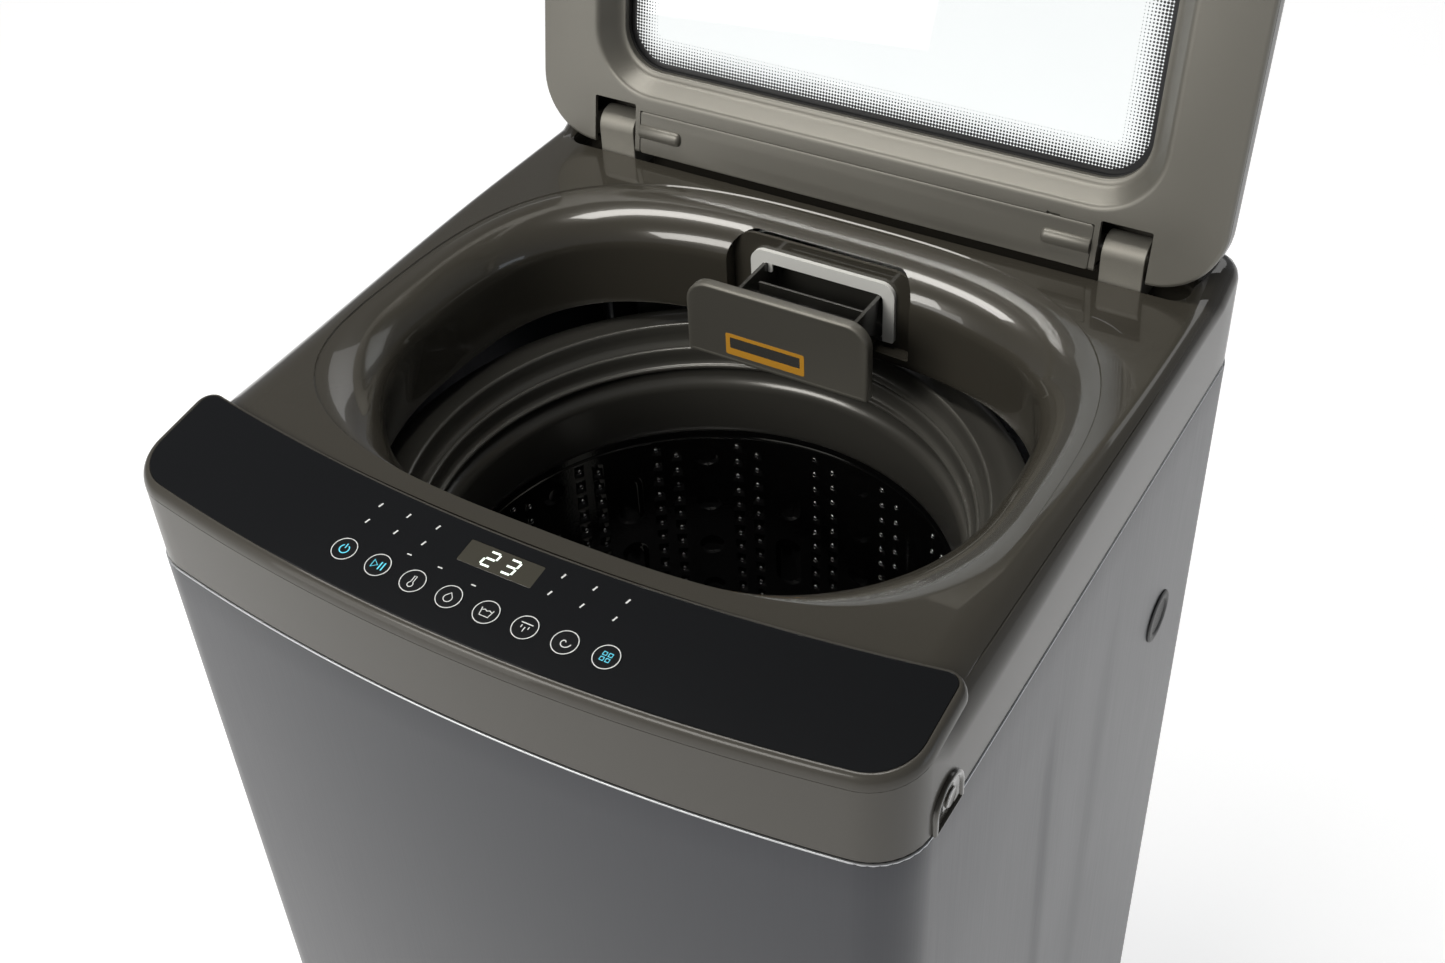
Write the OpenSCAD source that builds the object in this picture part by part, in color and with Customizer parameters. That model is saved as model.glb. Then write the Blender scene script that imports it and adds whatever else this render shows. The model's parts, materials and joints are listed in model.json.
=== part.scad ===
// Top load washing machine: bowed steel cabinet, moulded top cover with a glossy funnel,
// front console with eight keys, glazed lid on two hinges, hung tub, belt driven basket
// and pulsator. Units are millimetres, +Z is up and the front looks along -Y.

/* [Cabinet] */
// Width of the cabinet
body_w = 550; // [540:2:570]
// Depth of the cabinet, measured at the middle of its bowed front
body_d = 560; // [556:2:580]
// Height of the seam between the cabinet and the top cover
seam_h = 850; // [840:5:880]
// How far the front bows out between its corners
bow = 26; // [18:1:30]
// Radius of the two front corners
front_r = 38; // [32:1:44]
// Radius of the two rear corners
rear_r = 25; // [20:1:30]
// Thickness of the cabinet sheet
sheet_t = 0.8; // [0.6:0.1:1.2]
// Height of the base frame above the floor
base_z = 20; // [16:1:24]
// Height of the base frame
base_h = 66; // [60:1:68]

/* [Top cover] */
// Height of the deck above the seam
deck_h = 74; // [73:1:76]
// Wall thickness of the moulded top cover
cover_t = 3; // [2.5:0.1:3.5]
// Half width of the funnel mouth where it leaves the deck
mouth_x = 250; // [246:1:252]
// Depth of the roll where the deck turns down into the funnel
roll_h = 30; // [24:1:36]

/* [Console] */
// Height of the console's parting line above the seam
part_h = 44; // [40:1:46]
// Slope of the console panel, down towards the front
panel_tilt = 8.7; // [7:0.1:10]
// Distance between neighbouring keys
key_pitch = 26.6; // [24:0.1:28]
// Radius of a key
key_r = 8.6; // [8:0.1:9]
// Travel of a key
key_travel = 0.8; // [0.5:0.1:1]

/* [Lid] */
// How far the lid stands open, from flat
lid_open = 100; // [96:1:102]
// Thickness of the lid
lid_t = 31; // [30:1:32]
// Radius of the two corners of the lid beside its hinges
lid_rear_r = 48; // [40:1:52]
// Distance of each hinge from the middle
hinge_x = 205.5; // [204:0.5:207]

/* [Detergent drawer] */
// How far the drawer is pulled out
drawer_out = 60; // [50:1:62]
// Half width of the drawer's front plate
drawer_hw = 73; // [70:1:74]

/* [Tub and drive] */
// Outer radius of the tub
tub_r = 228; // [226:1:230]
// Inner radius of the basket
basket_r = 187; // [184:1:188]
// Height of the basket's perforated wall
basket_h = 400; // [380:5:400]
// Radius of the pulsator
pulsator_r = 162; // [150:1:166]
// Number of vanes on the pulsator
vanes = 6; // [4:1:8]
// Distance between the drive shaft and the motor shaft
belt_span = 170; // [165:1:175]
// Pitch radius of the pulley on the drive shaft
drive_r = 70; // [66:1:72]
// Pitch radius of the pulley on the motor shaft
motor_r = 14; // [12:0.5:15]

/* [Hidden] */

$fn = 64;
key_count = 8;
eps = 0.01;
front_y = -body_d / 2;
rear_y = body_d / 2;
half_w = body_w / 2;
// Hinge axis of the lid, seen from the side
hinge_y = 226;
hinge_z = seam_h + deck_h + 18;
// The lid leans past upright, so the body sits this far forward to centre the whole machine
lid_front_mid = -194;
lid_len = hinge_y - lid_front_mid;
lid_reach = hinge_y + lid_len * sin(lid_open - 90) + (lid_t - 15) * cos(lid_open - 90);
body_y = -(lid_reach + front_y) / 2;
// Bowed front: one large arc tangent to the two corner arcs
bow_r = (half_w * half_w + bow * bow) / (2 * bow);
bow_cy = front_y + bow_r;
corner_x = half_w - front_r;
corner_y = bow_cy - sqrt(pow(bow_r - front_r, 2) - corner_x * corner_x);
corner_a = atan2(corner_y - bow_cy, corner_x);
// Console panel plane: its height above the seam at a given depth
panel_front_z = 63.3;
panel_front_y = front_y + 4.3;
panel_hw = half_w - 6;
console_mid_y = -196;
console_end_y = -173;
key_y = -249.5;
key_bow_r = 1500;
display_size = [53, 17];
display_pos = [-5.5, -216.5];
// Tub stack, heights above the floor
tub_y = -21;
tub_floor_z = 300;
tub_wall_t = 3;
tub_top_z = seam_h - 36;
basket_top_z = seam_h - 112;
basket_floor_z = basket_top_z - basket_h;
shaft_r = 9;
spin_tube_r = 15;
run_gap = 0.05;
motor_y = tub_y + belt_span;
pulley_z = 160;
pulley_h = 20;
// Suspension: rods hang from the top corners, springs sit on cups at their lower ends
rod_spots = [[-225, -215], [225, -215], [225, 205], [-225, 205]];
rod_r = 4;
rod_low_z = 292;
spring_low_z = 300;
lug_z = 420;
lug_h = 14;
bracket_z = seam_h - 18;
// Feet
foot_x = 215;
foot_front_y = -210;
foot_rear_y = 235;
foot_r = 22;
stem_r = 6;
// Detergent drawer recess in the rear wall of the funnel
recess_y = 155;
recess_hw = 75;
recess_z = [2, 67];
drawer_z = [4, 65];
drain_spot = [130, 80];
// The two water inlets: their radius over the thread, places and height above the seam
inlet_r = 13.2;
inlet_x = [-100, -60];
inlet_z = 36;
drain_r = 15;

steel_grey = "#5b5d61";
cover_grey = "#5f5b53";
satin_grey = "#57544d";
panel_black = "#101114";
dark_grey = "#2b2a28";
clear_black = "#3a3a3a";
white_plastic = "#dcdcd6";
zinc = "#b9bcc0";
rubber_black = "#1a1a1a";

// ---- Shared shapes ----

module at_body() translate([0, body_y, 0]) children();
module at_tub() translate([0, body_y + tub_y, 0]) children();
module at_lid() translate([0, body_y + hinge_y, hinge_z]) rotate([-lid_open, 0, 0]) children();

function arc(cx, cy, r, a0, a1, n) =
    [for (i = [0:n]) let (a = a0 + (a1 - a0) * i / n) [cx + r * cos(a), cy + r * sin(a)]];

// Plan outline of the body, moved inwards by d
function body_points(d) = concat(
    arc(0, bow_cy, bow_r - d, -180 - corner_a, corner_a, 16),
    arc(corner_x, corner_y, front_r - d, corner_a, 0, 7),
    arc(half_w - rear_r, rear_y - rear_r, rear_r - d, 0, 90, 5),
    arc(rear_r - half_w, rear_y - rear_r, rear_r - d, 90, 180, 5),
    arc(-corner_x, corner_y, front_r - d, 180, 180 - corner_a, 7));

module body_plan(d = 0) polygon(body_points(d));
module body_block(z0, z1, d = 0) translate([0, 0, z0]) linear_extrude(z1 - z0) body_plan(d);
module rounded(size, r) translate([-size[0] / 2, -size[1] / 2])
    hull() for (x = [r, size[0] - r], y = [r, size[1] - r]) translate([x, y]) circle(r, $fn = 32);
module box(p, q) translate(p) cube(q - p);
module mirrored() for (s = [0, 1]) mirror([s, 0, 0]) children();

// Region between the console's concave rear edge and the front, with a side margin
console_sag = console_end_y - console_mid_y;
console_edge_r = (panel_hw * panel_hw + console_sag * console_sag) / (2 * console_sag);
module console_zone(d = 0) difference() {
    translate([-half_w - 10, front_y - 10])
        square([body_w + 20, console_end_y - front_y + 10 - d]);
    translate([0, console_mid_y + console_edge_r])
        circle(console_edge_r + d, $fn = 256);
}
module console_plan(d = 0) intersection() {
    body_plan(6 + d);
    console_zone(d);
}

// Half space below (or above) the console panel's plane, moved along its normal
module panel_frame() translate([0, panel_front_y, seam_h + panel_front_z])
    rotate([panel_tilt, 0, 0]) children();
module below_panel(d = 0) panel_frame() translate([-300, -60, -200 - d]) cube([600, 300, 200]);
// Distance along the sloping panel from its front edge to a plan depth
function on_panel(y) = (y - panel_front_y) / cos(panel_tilt);
function key_x(i) = (i - (key_count - 1) / 2) * key_pitch - 5.5;
function key_depth(i) = on_panel(key_y + key_bow_r - sqrt(pow(key_bow_r, 2) - pow(key_x(i), 2)));
module at_key(i) panel_frame() translate([key_x(i), key_depth(i), 0]) children();
module at_display() panel_frame()
    translate([display_pos[0], on_panel(display_pos[1]), 0]) children();

// ---- Cabinet ----

module cabinet_wrap() at_body() color(steel_grey) difference() {
    union() {
        difference() {
            body_block(base_z, seam_h);
            body_block(base_z - 1, seam_h + 1, sheet_t);
        }
        // inward flange that carries the top cover
        difference() {
            body_block(seam_h - sheet_t, seam_h, sheet_t / 2);
            body_block(seam_h - 3, seam_h + 1, 14);
        }
    }
    // the back is open between the two rear corners
    box([-half_w + rear_r + 12, rear_y - 20, base_z - 2], [half_w - rear_r - 12, rear_y + 5, seam_h + 5]);
    mirrored() translate([half_w, 180, seam_h - 182]) rotate([0, 90, 0])
        cylinder(r = 18, h = 20, center = true);
    mirrored() translate([half_w, -205, seam_h - 12]) rotate([0, 90, 0])
        cylinder(r = 3, h = 20, center = true);
}

module back_panel() at_body() color(zinc) difference() {
    box([-half_w + rear_r + 2, rear_y - 2 * sheet_t, base_z + base_h],
        [half_w - rear_r - 2, rear_y - sheet_t, seam_h - 6]);
    // cooling louvres
    for (row = [0:5], col = [-1, 1])
        translate([col * 90, rear_y, 520 + row * 22]) cube([110, 20, 7], center = true);
    translate([170, rear_y, 640]) rotate([90, 0, 0]) cylinder(r = 10.2, h = 20, center = true);
    translate([drain_spot[0], rear_y, 110]) rotate([90, 0, 0]) cylinder(r = 19, h = 20, center = true);
}

module base_frame() at_body() color(dark_grey) difference() {
    union() {
        difference() {
            body_block(base_z, base_z + base_h, sheet_t);
            body_block(base_z + 5, base_z + base_h + 1, sheet_t + 4);
            translate([0, tub_y + 15, base_z - 1]) cylinder(r = 190, h = 40);
        }
        for (x = [-foot_x, foot_x], y = [foot_front_y, foot_rear_y])
            translate([x, y, base_z + 1]) cylinder(r = 20, h = 44);
    }
    for (x = [-foot_x, foot_x]) {
        translate([x, foot_front_y, base_z - 1]) cylinder(r = stem_r + run_gap, h = 60);
        translate([x, foot_rear_y, base_z - 1]) cylinder(r = 8, h = 60);
        translate([x, foot_rear_y, base_z + 8]) cylinder(r = 14, h = 60);
    }
}

module corner_brackets() at_body() color(zinc) for (p = rod_spots) difference() {
    intersection() {
        body_block(bracket_z, bracket_z + 3, sheet_t);
        union() {
            translate([p[0], p[1], bracket_z - 1]) cylinder(r = 24, h = 6);
            translate([p[0] > 0 ? p[0] - 24 : -half_w, p[1] < 0 ? front_y : p[1] - 24, bracket_z - 1])
                cube([half_w - abs(p[0]) + 24,
                    p[1] < 0 ? p[1] + 24 - front_y : rear_y - 2 * sheet_t - p[1] + 24, 6]);
        }
    }
    translate([p[0], p[1], bracket_z - 5]) cylinder(r = rod_r + 1.2, h = 20);
}

module suspension_rods() at_body() color(zinc) for (p = rod_spots) translate([p[0], p[1], 0]) {
    translate([0, 0, rod_low_z]) cylinder(r = rod_r, h = bracket_z + 6 - rod_low_z);
    translate([0, 0, rod_low_z - 6]) cylinder(r = 15, h = spring_low_z - rod_low_z + 6);
    // the rod's ball end rests in its bracket
    translate([0, 0, bracket_z + 3]) cylinder(r1 = 12, r2 = 7, h = 8);
}

module suspension_springs() at_body() color(zinc) for (p = rod_spots)
    translate([p[0], p[1], spring_low_z]) difference() {
        cylinder(r = 12.5, h = lug_z - spring_low_z);
        translate([0, 0, -1]) cylinder(r = 9.5, h = lug_z - spring_low_z + 2);
    }

module foot(x) at_body() color(rubber_black) translate([x, foot_front_y, 0]) {
    cylinder(r1 = foot_r, r2 = foot_r - 1.5, h = 4);
    translate([0, 0, 4 - eps]) cylinder(r1 = foot_r - 1.5, r2 = foot_r - 6, h = base_z - 11);
    translate([0, 0, 2]) cylinder(r = stem_r, h = base_z + 34);
}
module front_foot_left() foot(-foot_x);
module front_foot_right() foot(foot_x);

module foot_lock_nuts() at_body() color(zinc) for (x = [-foot_x, foot_x])
    translate([x, foot_front_y, base_z - 6]) difference() {
        cylinder(r = 11, h = 6, $fn = 6);
        translate([0, 0, -1]) cylinder(r = stem_r + run_gap, h = 9);
    }

module rear_feet() at_body() color(rubber_black) for (x = [-foot_x, foot_x])
    translate([x, foot_rear_y, 0]) {
        cylinder(r1 = foot_r, r2 = foot_r - 4, h = base_z);
        translate([0, 0, base_z - 1]) cylinder(r = 8, h = 9);
    }

module side_screw_covers() at_body() color(cover_grey) mirrored()
    translate([half_w, -205, seam_h]) rotate([90, 0, 90]) linear_extrude(2) {
        translate([0, 14]) circle(17);
        translate([-17, 0]) square([34, 14]);
    }

module cabinet_plugs() at_body() color(clear_black) mirrored()
    translate([half_w, 180, seam_h - 182]) rotate([0, 90, 0]) {
        cylinder(r = 21, h = 2);
        translate([0, 0, -6]) cylinder(r = 17.9, h = 7);
    }

module panel_screws() at_body() color(zinc) {
    for (x = [-243, 243], z = [100, 335, 570, 805])
        translate([x, rear_y, z]) rotate([-90, 0, 0]) cylinder(r = 4.5, h = 2.5);
    for (x = [-122, 122], z = [seam_h + 14, seam_h + 54])
        translate([x, rear_y, z]) rotate([-90, 0, 0]) cylinder(r = 4.5, h = 2.5);
}

module cord_gland() at_body() color(rubber_black) translate([170, rear_y, 640]) rotate([-90, 0, 0])
    difference() {
        union() {
            translate([0, 0, -8]) cylinder(r = 10, h = 12);
            translate([0, 0, 0]) cylinder(r = 14, h = 3);
        }
        translate([0, 0, -10]) cylinder(r = 4, h = 20);
    }

// ---- Top cover ----

// Funnel: rounded square mouth that rolls down into a near circle, flattened at the rear
function mix(a, b, t) = a + (b - a) * t;
// Each ring: height above the seam, how far the roll has turned, and its reach to the front
funnel_all = concat(
    [for (u = [0:0.2:1]) [deck_h - 1 - roll_h * (1 - cos(90 * u)), sin(90 * u), mix(161, 169, u)]],
    [[part_h - 6, 1, 171], [14, 1, 198], [-3, 1, 211]]);
funnel_sides = 72;
function funnel_point(f, front_reach, a, d) =
    let (hw = mix(mouth_x, 216, f) + d, front = front_reach + d, rear = mix(223, 178, f) + d,
         power = sin(a) < 0 ? mix(3, 2, f) : mix(3, 3.2, f),
         c = abs(cos(a)), s = abs(sin(a)))
    [sign(cos(a)) * hw * pow(c, 2 / power),
     tub_y + sign(sin(a)) * (sin(a) < 0 ? front : rear) * pow(s, 2 / power)];
function funnel_ring(ring, d) = [for (i = [0:funnel_sides - 1])
    funnel_point(ring[1], ring[2], 360 * (i + 0.5) / funnel_sides, d)];
module funnel_core(d, drop = 0) {
    rings = len(funnel_all);
    n = funnel_sides;
    points = [for (r = funnel_all, p = funnel_ring(r, d))
        [p[0], p[1], seam_h + r[0] + (r[0] < 0 ? -drop : 0)]];
    sides = [for (j = [0:rings - 2], i = [0:n - 1]) let (k = (i + 1) % n)
        each [[j * n + i, j * n + k, (j + 1) * n + k], [j * n + i, (j + 1) * n + k, (j + 1) * n + i]]];
    top = [for (i = [n - 1:-1:0]) i];
    bottom = [for (i = [0:n - 1]) (rings - 1) * n + i];
    polyhedron(points, concat(sides, [top], [bottom]), convexity = 6);
}
module recess_hole(y0, y1, grow = 0) translate([0, y0, seam_h]) rotate([-90, 0, 0])
    mirror([0, 1, 0]) linear_extrude(y1 - y0) offset(grow) {
        translate([-recess_hw, recess_z[0]]) square([2 * recess_hw, 30]);
        translate([0, mix(recess_z[0], recess_z[1], 0.5)])
            rounded([2 * recess_hw, recess_z[1] - recess_z[0]], 18);
    }
trough_y = [205, 251];
trough_z = 60;

module top_cover() at_body() color(cover_grey) difference() {
    union() {
        difference() {
            body_block(seam_h, seam_h + deck_h);
            body_block(seam_h - 1, seam_h + deck_h - 2.5, cover_t);
            translate([0, 0, seam_h + 60]) linear_extrude(30) polygon(funnel_ring(funnel_all[0], 0));
            // seat of the console
            translate([0, 0, seam_h + part_h]) linear_extrude(60) console_zone();
        }
        intersection() {
            body_block(seam_h + 1, seam_h + part_h, 1);
            difference() {
                translate([0, 0, seam_h + part_h - 3]) linear_extrude(3) console_zone();
                funnel_core(1);
            }
        }
        difference() {
            funnel_core(2.5);
            funnel_core(0, 5);
        }
        // walls and floor of the trough that the lid's rear edge swings into
        difference() {
            box([-half_w + 2, trough_y[0] - 3, seam_h + trough_z - 3],
                [half_w - 2, trough_y[1] + 3, seam_h + deck_h - 1]);
            funnel_core(1);
        }
        // rear ridge behind the lid
        difference() {
            body_block(seam_h + deck_h - 3, seam_h + deck_h + 10);
            box([-half_w - 5, front_y - 5, seam_h], [half_w + 5, trough_y[1], seam_h + 120]);
            body_block(seam_h + 40, seam_h + deck_h + 7, cover_t);
        }
        // rim round the drawer's recess
        difference() {
            recess_hole(recess_y - 1, recess_y + 6, 2.5);
            funnel_core(0.5);
        }
    }
    box([-half_w + 4, trough_y[0], seam_h + trough_z],
        [half_w - 4, trough_y[1], seam_h + deck_h + 30]);
    recess_hole(100, 215);
    // opening behind the valves
    box([-130, rear_y - 8, seam_h + 6], [130, rear_y + 5, seam_h + 62]);
    funnel_core(0, 5);
}

module rear_cover() at_body() color(satin_grey) difference() {
    box([-130, rear_y - cover_t, seam_h + 6], [130, rear_y, seam_h + 62]);
    for (x = inlet_x)
        translate([x, rear_y, seam_h + inlet_z]) rotate([90, 0, 0])
            cylinder(r = inlet_r + 2, h = 20, center = true);
}

module hinge_brackets() at_body() color(satin_grey) mirrored()
    translate([hinge_x - 15.5, hinge_y, hinge_z]) rotate([90, 0, 90]) linear_extrude(31)
        difference() {
            union() {
                circle(13.5);
                translate([-13.5, -(hinge_z - seam_h - trough_z)])
                    square([27, hinge_z - seam_h - trough_z]);
            }
            circle(4 + run_gap);
        }

// ---- Console ----

module console_bezel() at_body() color(cover_grey) intersection() {
    difference() {
        translate([0, 0, seam_h + part_h]) linear_extrude(60) intersection() {
            body_plan(1);
            console_zone(0.4);
        }
        translate([0, 0, seam_h + part_h - 1]) linear_extrude(70) intersection() {
            body_plan(10);
            console_zone(4.4);
        }
        // seat of the glossy panel
        difference() {
            translate([0, 0, seam_h + part_h]) linear_extrude(80) console_plan(0.5);
            below_panel(3);
        }
    }
    below_panel(0.4);
}

module control_panel() at_body() color(panel_black) difference() {
    intersection() {
        translate([0, 0, seam_h + part_h]) linear_extrude(60) console_plan(0.5);
        difference() {
            below_panel(0);
            below_panel(3);
        }
    }
    for (i = [0:key_count - 1]) at_key(i) translate([0, 0, -10]) cylinder(r = key_r + 0.4, h = 20);
    at_display() translate([-display_size[0] / 2, -display_size[1] / 2, -10])
        cube([display_size[0], display_size[1], 20]);
}

module display_window() at_body() color("#35332c") at_display() translate([0, 0, -2.2])
    linear_extrude(2.1) square([display_size[0], display_size[1]], center = true);

module control_board() at_body() color("#1d5c38") {
    panel_frame() translate([-130, 16, -14]) cube([250, 56, 1.6]);
    at_display() translate([-24, -6.5, -12.4 - eps]) cube([48, 13, 8]);
    for (i = [0:key_count - 1]) at_key(i) translate([-3, -3, -12.4 - eps]) cube([6, 6, 3.4]);
}

module key(i) at_body() color("#0d0e10") at_key(i) {
    translate([0, 0, -4]) cylinder(r = key_r, h = 4.2);
    translate([0, 0, -8.9 + key_travel]) cylinder(r = 2, h = 6);
}
module key_power() key(0);
module key_start() key(1);
module key_temperature() key(2);
module key_water() key(3);
module key_soak() key(4);
module key_rinse() key(5);
module key_spin() key(6);
module key_mode() key(7);

// ---- Lid, drawn closed about its hinge axis ----

lid_bow_r = console_edge_r + 2;
function lid_points(d) = let (hw = half_w - 2, front = -lid_len)
    concat(
        arc(hw - lid_rear_r, 14 - lid_rear_r, lid_rear_r - d, 0, 90, 9),
        arc(lid_rear_r - hw, 14 - lid_rear_r, lid_rear_r - d, 90, 180, 9),
        arc(-hw + 20, front + console_sag + 18, 20 - d, 180, 264, 6),
        arc(0, front + lid_bow_r, lid_bow_r - d, 265.8, 274.2, 12),
        arc(hw - 20, front + console_sag + 18, 20 - d, -84, 0, 6));
window_y = [-lid_len + 62, -33];
module window_plan(d) translate([0, (window_y[0] + window_y[1]) / 2])
    rounded([2 * (222 - d), window_y[1] - window_y[0] - 2 * d], 46 - d);
module hinge_notch(z0, z1) mirrored()
    box([hinge_x - 18.5, -24, z0], [hinge_x + 18.5, 30, z1]);
lid_top = lid_t - 15;

module lid_shell() color(cover_grey) at_lid() difference() {
    translate([0, 0, -11.5]) linear_extrude(lid_top + 11.5) polygon(lid_points(0));
    translate([0, 0, -12]) linear_extrude(lid_top + 9) polygon(lid_points(3));
    translate([0, 0, -20]) linear_extrude(60) window_plan(9);
    translate([0, 0, lid_top - 2.5]) linear_extrude(5) window_plan(4);
    hinge_notch(-20, lid_top - 2);
    mirrored() box([hinge_x - 18.5, 1, -20], [hinge_x + 18.5, 30, lid_top + 1]);
}

module lid_inner_frame() color(satin_grey) at_lid() difference() {
    union() {
        translate([0, 0, -15]) linear_extrude(3.5) polygon(lid_points(0));
        translate([0, 0, -13]) linear_extrude(19) window_plan(0);
        // ears that carry the hinge pins
        mirrored() for (x = [hinge_x - 22.5, hinge_x + 18.5])
            translate([x, 0, 0]) rotate([90, 0, 90]) linear_extrude(4) {
                circle(9);
                translate([-9, -13]) square([18, 13]);
            }
    }
    translate([0, 0, -20]) linear_extrude(60) window_plan(14);
    hull() {
        translate([0, 0, -15.2]) linear_extrude(0.1) window_plan(2);
        translate([0, 0, 0]) linear_extrude(0.1) window_plan(11);
    }
    hinge_notch(-20, 9);
    mirrored() translate([150, 0, 0]) rotate([0, 90, 0]) cylinder(r = 4, h = 100);
    // seat of the hinge strip
    box([-hinge_x + 22.5, -20, -20], [hinge_x - 22.5, 30, -11]);
}

module hinge_strip() color(satin_grey) at_lid() {
    box([-hinge_x + 22.8, -19.7, -15], [hinge_x - 22.8, 13.5, -12.5]);
    mirrored() translate([hinge_x - 53, 0, -15]) rotate([0, 90, 0]) intersection() {
        cylinder(r = 4, h = 29);
        box([0, -8, 0], [8, 8, 29]);
    }
}

module hinge_pins() color(zinc) at_lid() mirrored()
    translate([hinge_x - 22, 0, 0]) rotate([0, 90, 0]) cylinder(r = 4, h = 44);

module lid_dampers() color(rubber_black) at_lid() mirrored()
    translate([hinge_x - 56, 0, 0]) rotate([0, 90, 0]) cylinder(r = 9, h = 33.5);

module lid_gasket() color(rubber_black) at_lid() difference() {
    translate([0, 0, 6]) linear_extrude(lid_top - 12) window_plan(5);
    translate([0, 0, 5]) linear_extrude(20) window_plan(14);
}

module lid_glass() color([0.8, 0.85, 0.86, 0.35]) at_lid()
    translate([0, 0, lid_top - 6]) linear_extrude(4) window_plan(10);

// ---- Detergent drawer ----

module detergent_housing() at_body() color(white_plastic) difference() {
    union() {
        box([-70, recess_y + 6, seam_h + 3], [70, 258, seam_h + 50]);
        box([-56, recess_y + 6, seam_h + 3], [56, 200, seam_h + 64]);
        mirrored() translate([56, recess_y + 6, seam_h + 50]) rotate([-90, 0, 0])
            cylinder(r = 14, h = 200 - recess_y - 6);
    }
    box([-67, recess_y, seam_h + 6], [67, 255, seam_h + 47]);
    box([-56, recess_y, seam_h + 6], [56, 197, seam_h + 61]);
    mirrored() translate([56, recess_y, seam_h + 50]) rotate([-90, 0, 0])
        cylinder(r = 11, h = 197 - recess_y);
}

drawer_face_y = recess_y - drawer_out;
module drawer_tray() at_body() color(dark_grey) difference() {
    box([-64, drawer_face_y + 6, seam_h + 8], [64, drawer_face_y + 90, seam_h + 46]);
    box([-62, drawer_face_y + 8, seam_h + 10], [62, drawer_face_y + 88, seam_h + 60]);
}

module drawer_front() at_body() color(satin_grey) translate([0, drawer_face_y, seam_h])
    rotate([-90, 0, 0]) mirror([0, 1, 0]) linear_extrude(6) {
        translate([-drawer_hw, drawer_z[0]]) square([2 * drawer_hw, 30]);
        translate([0, (drawer_z[0] + drawer_z[1]) / 2])
            rounded([2 * drawer_hw, drawer_z[1] - drawer_z[0]], 18);
    }

module siphon_insert() at_body() color(dark_grey) {
    box([-61.5, drawer_face_y + 44, seam_h + 10], [61.5, drawer_face_y + 46, seam_h + 40]);
    translate([0, drawer_face_y + 60, seam_h + 10]) cylinder(r = 12, h = 24);
    box([-40, drawer_face_y + 46 - eps, seam_h + 30], [40, drawer_face_y + 60, seam_h + 32]);
}

module inlet_valves() at_body() color("#c9c9c4") for (x = inlet_x)
    translate([x, 0, seam_h + inlet_z]) {
        translate([-15, 259, -22]) cube([30, rear_y - cover_t - 259, 36]);
        translate([0, 270, 0]) rotate([-90, 0, 0]) difference() {
            cylinder(r = inlet_r, h = rear_y + 16 - 270);
            translate([0, 0, 12]) cylinder(r = 8, h = 30);
        }
    }

// ---- Tub, hung on the suspension ----

module outer_tub() at_tub() color("#8d8f90") {
    difference() {
        rotate_extrude() polygon([
            [36, tub_floor_z], [tub_r - 30, tub_floor_z], [tub_r, tub_floor_z + 30],
            [tub_r, tub_top_z], [tub_r - tub_wall_t, tub_top_z],
            [tub_r - tub_wall_t, tub_floor_z + 32], [tub_r - 32, tub_floor_z + 4],
            [36, tub_floor_z + 4]]);
        translate([drain_spot[0], drain_spot[1] - tub_y, tub_floor_z - 1]) cylinder(r = 16, h = 10);
    }
    // lugs that ride on the suspension springs
    for (p = rod_spots) difference() {
        hull() {
            translate([p[0], p[1] - tub_y, lug_z]) cylinder(r = 16, h = lug_h, $fn = 32);
            rotate(atan2(p[1] - tub_y, p[0])) translate([tub_r - 2, -20, lug_z]) cube([2, 40, lug_h + 20]);
        }
        cylinder(r = tub_r - 1, h = 600);
        translate([p[0], p[1] - tub_y, lug_z - 5]) cylinder(r = rod_r + 1.2, h = 40);
        translate([0, 0, lug_z + lug_h]) translate([p[0], p[1] - tub_y, 0]) cylinder(r = 12, h = 30);
    }
}

module tub_cover() at_tub() color(cover_grey) translate([0, 0, seam_h]) rotate_extrude()
    polygon([
        [tub_r + 0.5, -50], [tub_r + 3, -50], [tub_r + 3, -24], [216, -20], [205, -20], [202, -17],
        [199.5, -17.5], [198.5, -30], [195, -33], [192, -37], [191, -46], [187, -50],
        [188, -53], [193.5, -48], [194.5, -38], [201, -33], [202, -22],
        [216, -23], [tub_r - 6, -27], [tub_r - 4, -36], [tub_r + 0.5, -36]]);

module tub_base_plate() at_tub() color(zinc) difference() {
    union() {
        translate([0, 0, tub_floor_z - 6]) cylinder(r = 110, h = 6);
        box([-60, 0, tub_floor_z - 6], [60, belt_span + 50, tub_floor_z]);
    }
    translate([0, 0, tub_floor_z - 10]) cylinder(r = 36, h = 20);
    translate([drain_spot[0], drain_spot[1] - tub_y, tub_floor_z - 10]) cylinder(r = 30, h = 20);
}

module gearbox() at_tub() color(zinc) difference() {
    union() {
        translate([0, 0, 200]) cylinder(r = 62, h = tub_floor_z - 6 - 200);
        translate([0, 0, tub_floor_z - 6 - eps]) cylinder(r = 30, h = 16);
    }
    translate([0, 0, 225]) cylinder(r = spin_tube_r + run_gap, h = 100);
    translate([0, 0, 190]) cylinder(r = 8 + run_gap, h = 24);
}

module motor() color("#7c8085") translate([0, body_y + motor_y, 0]) difference() {
    union() {
        translate([0, 0, 205]) cylinder(r = 58, h = 70);
        translate([0, 0, 196]) cylinder(r = 30, h = 10);
        for (a = [45:90:315]) rotate(a) translate([44, 0, 270]) cylinder(r = 7, h = tub_floor_z - 6 - 270);
    }
    translate([0, 0, 190]) cylinder(r = 7 + run_gap, h = 30);
}

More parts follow.
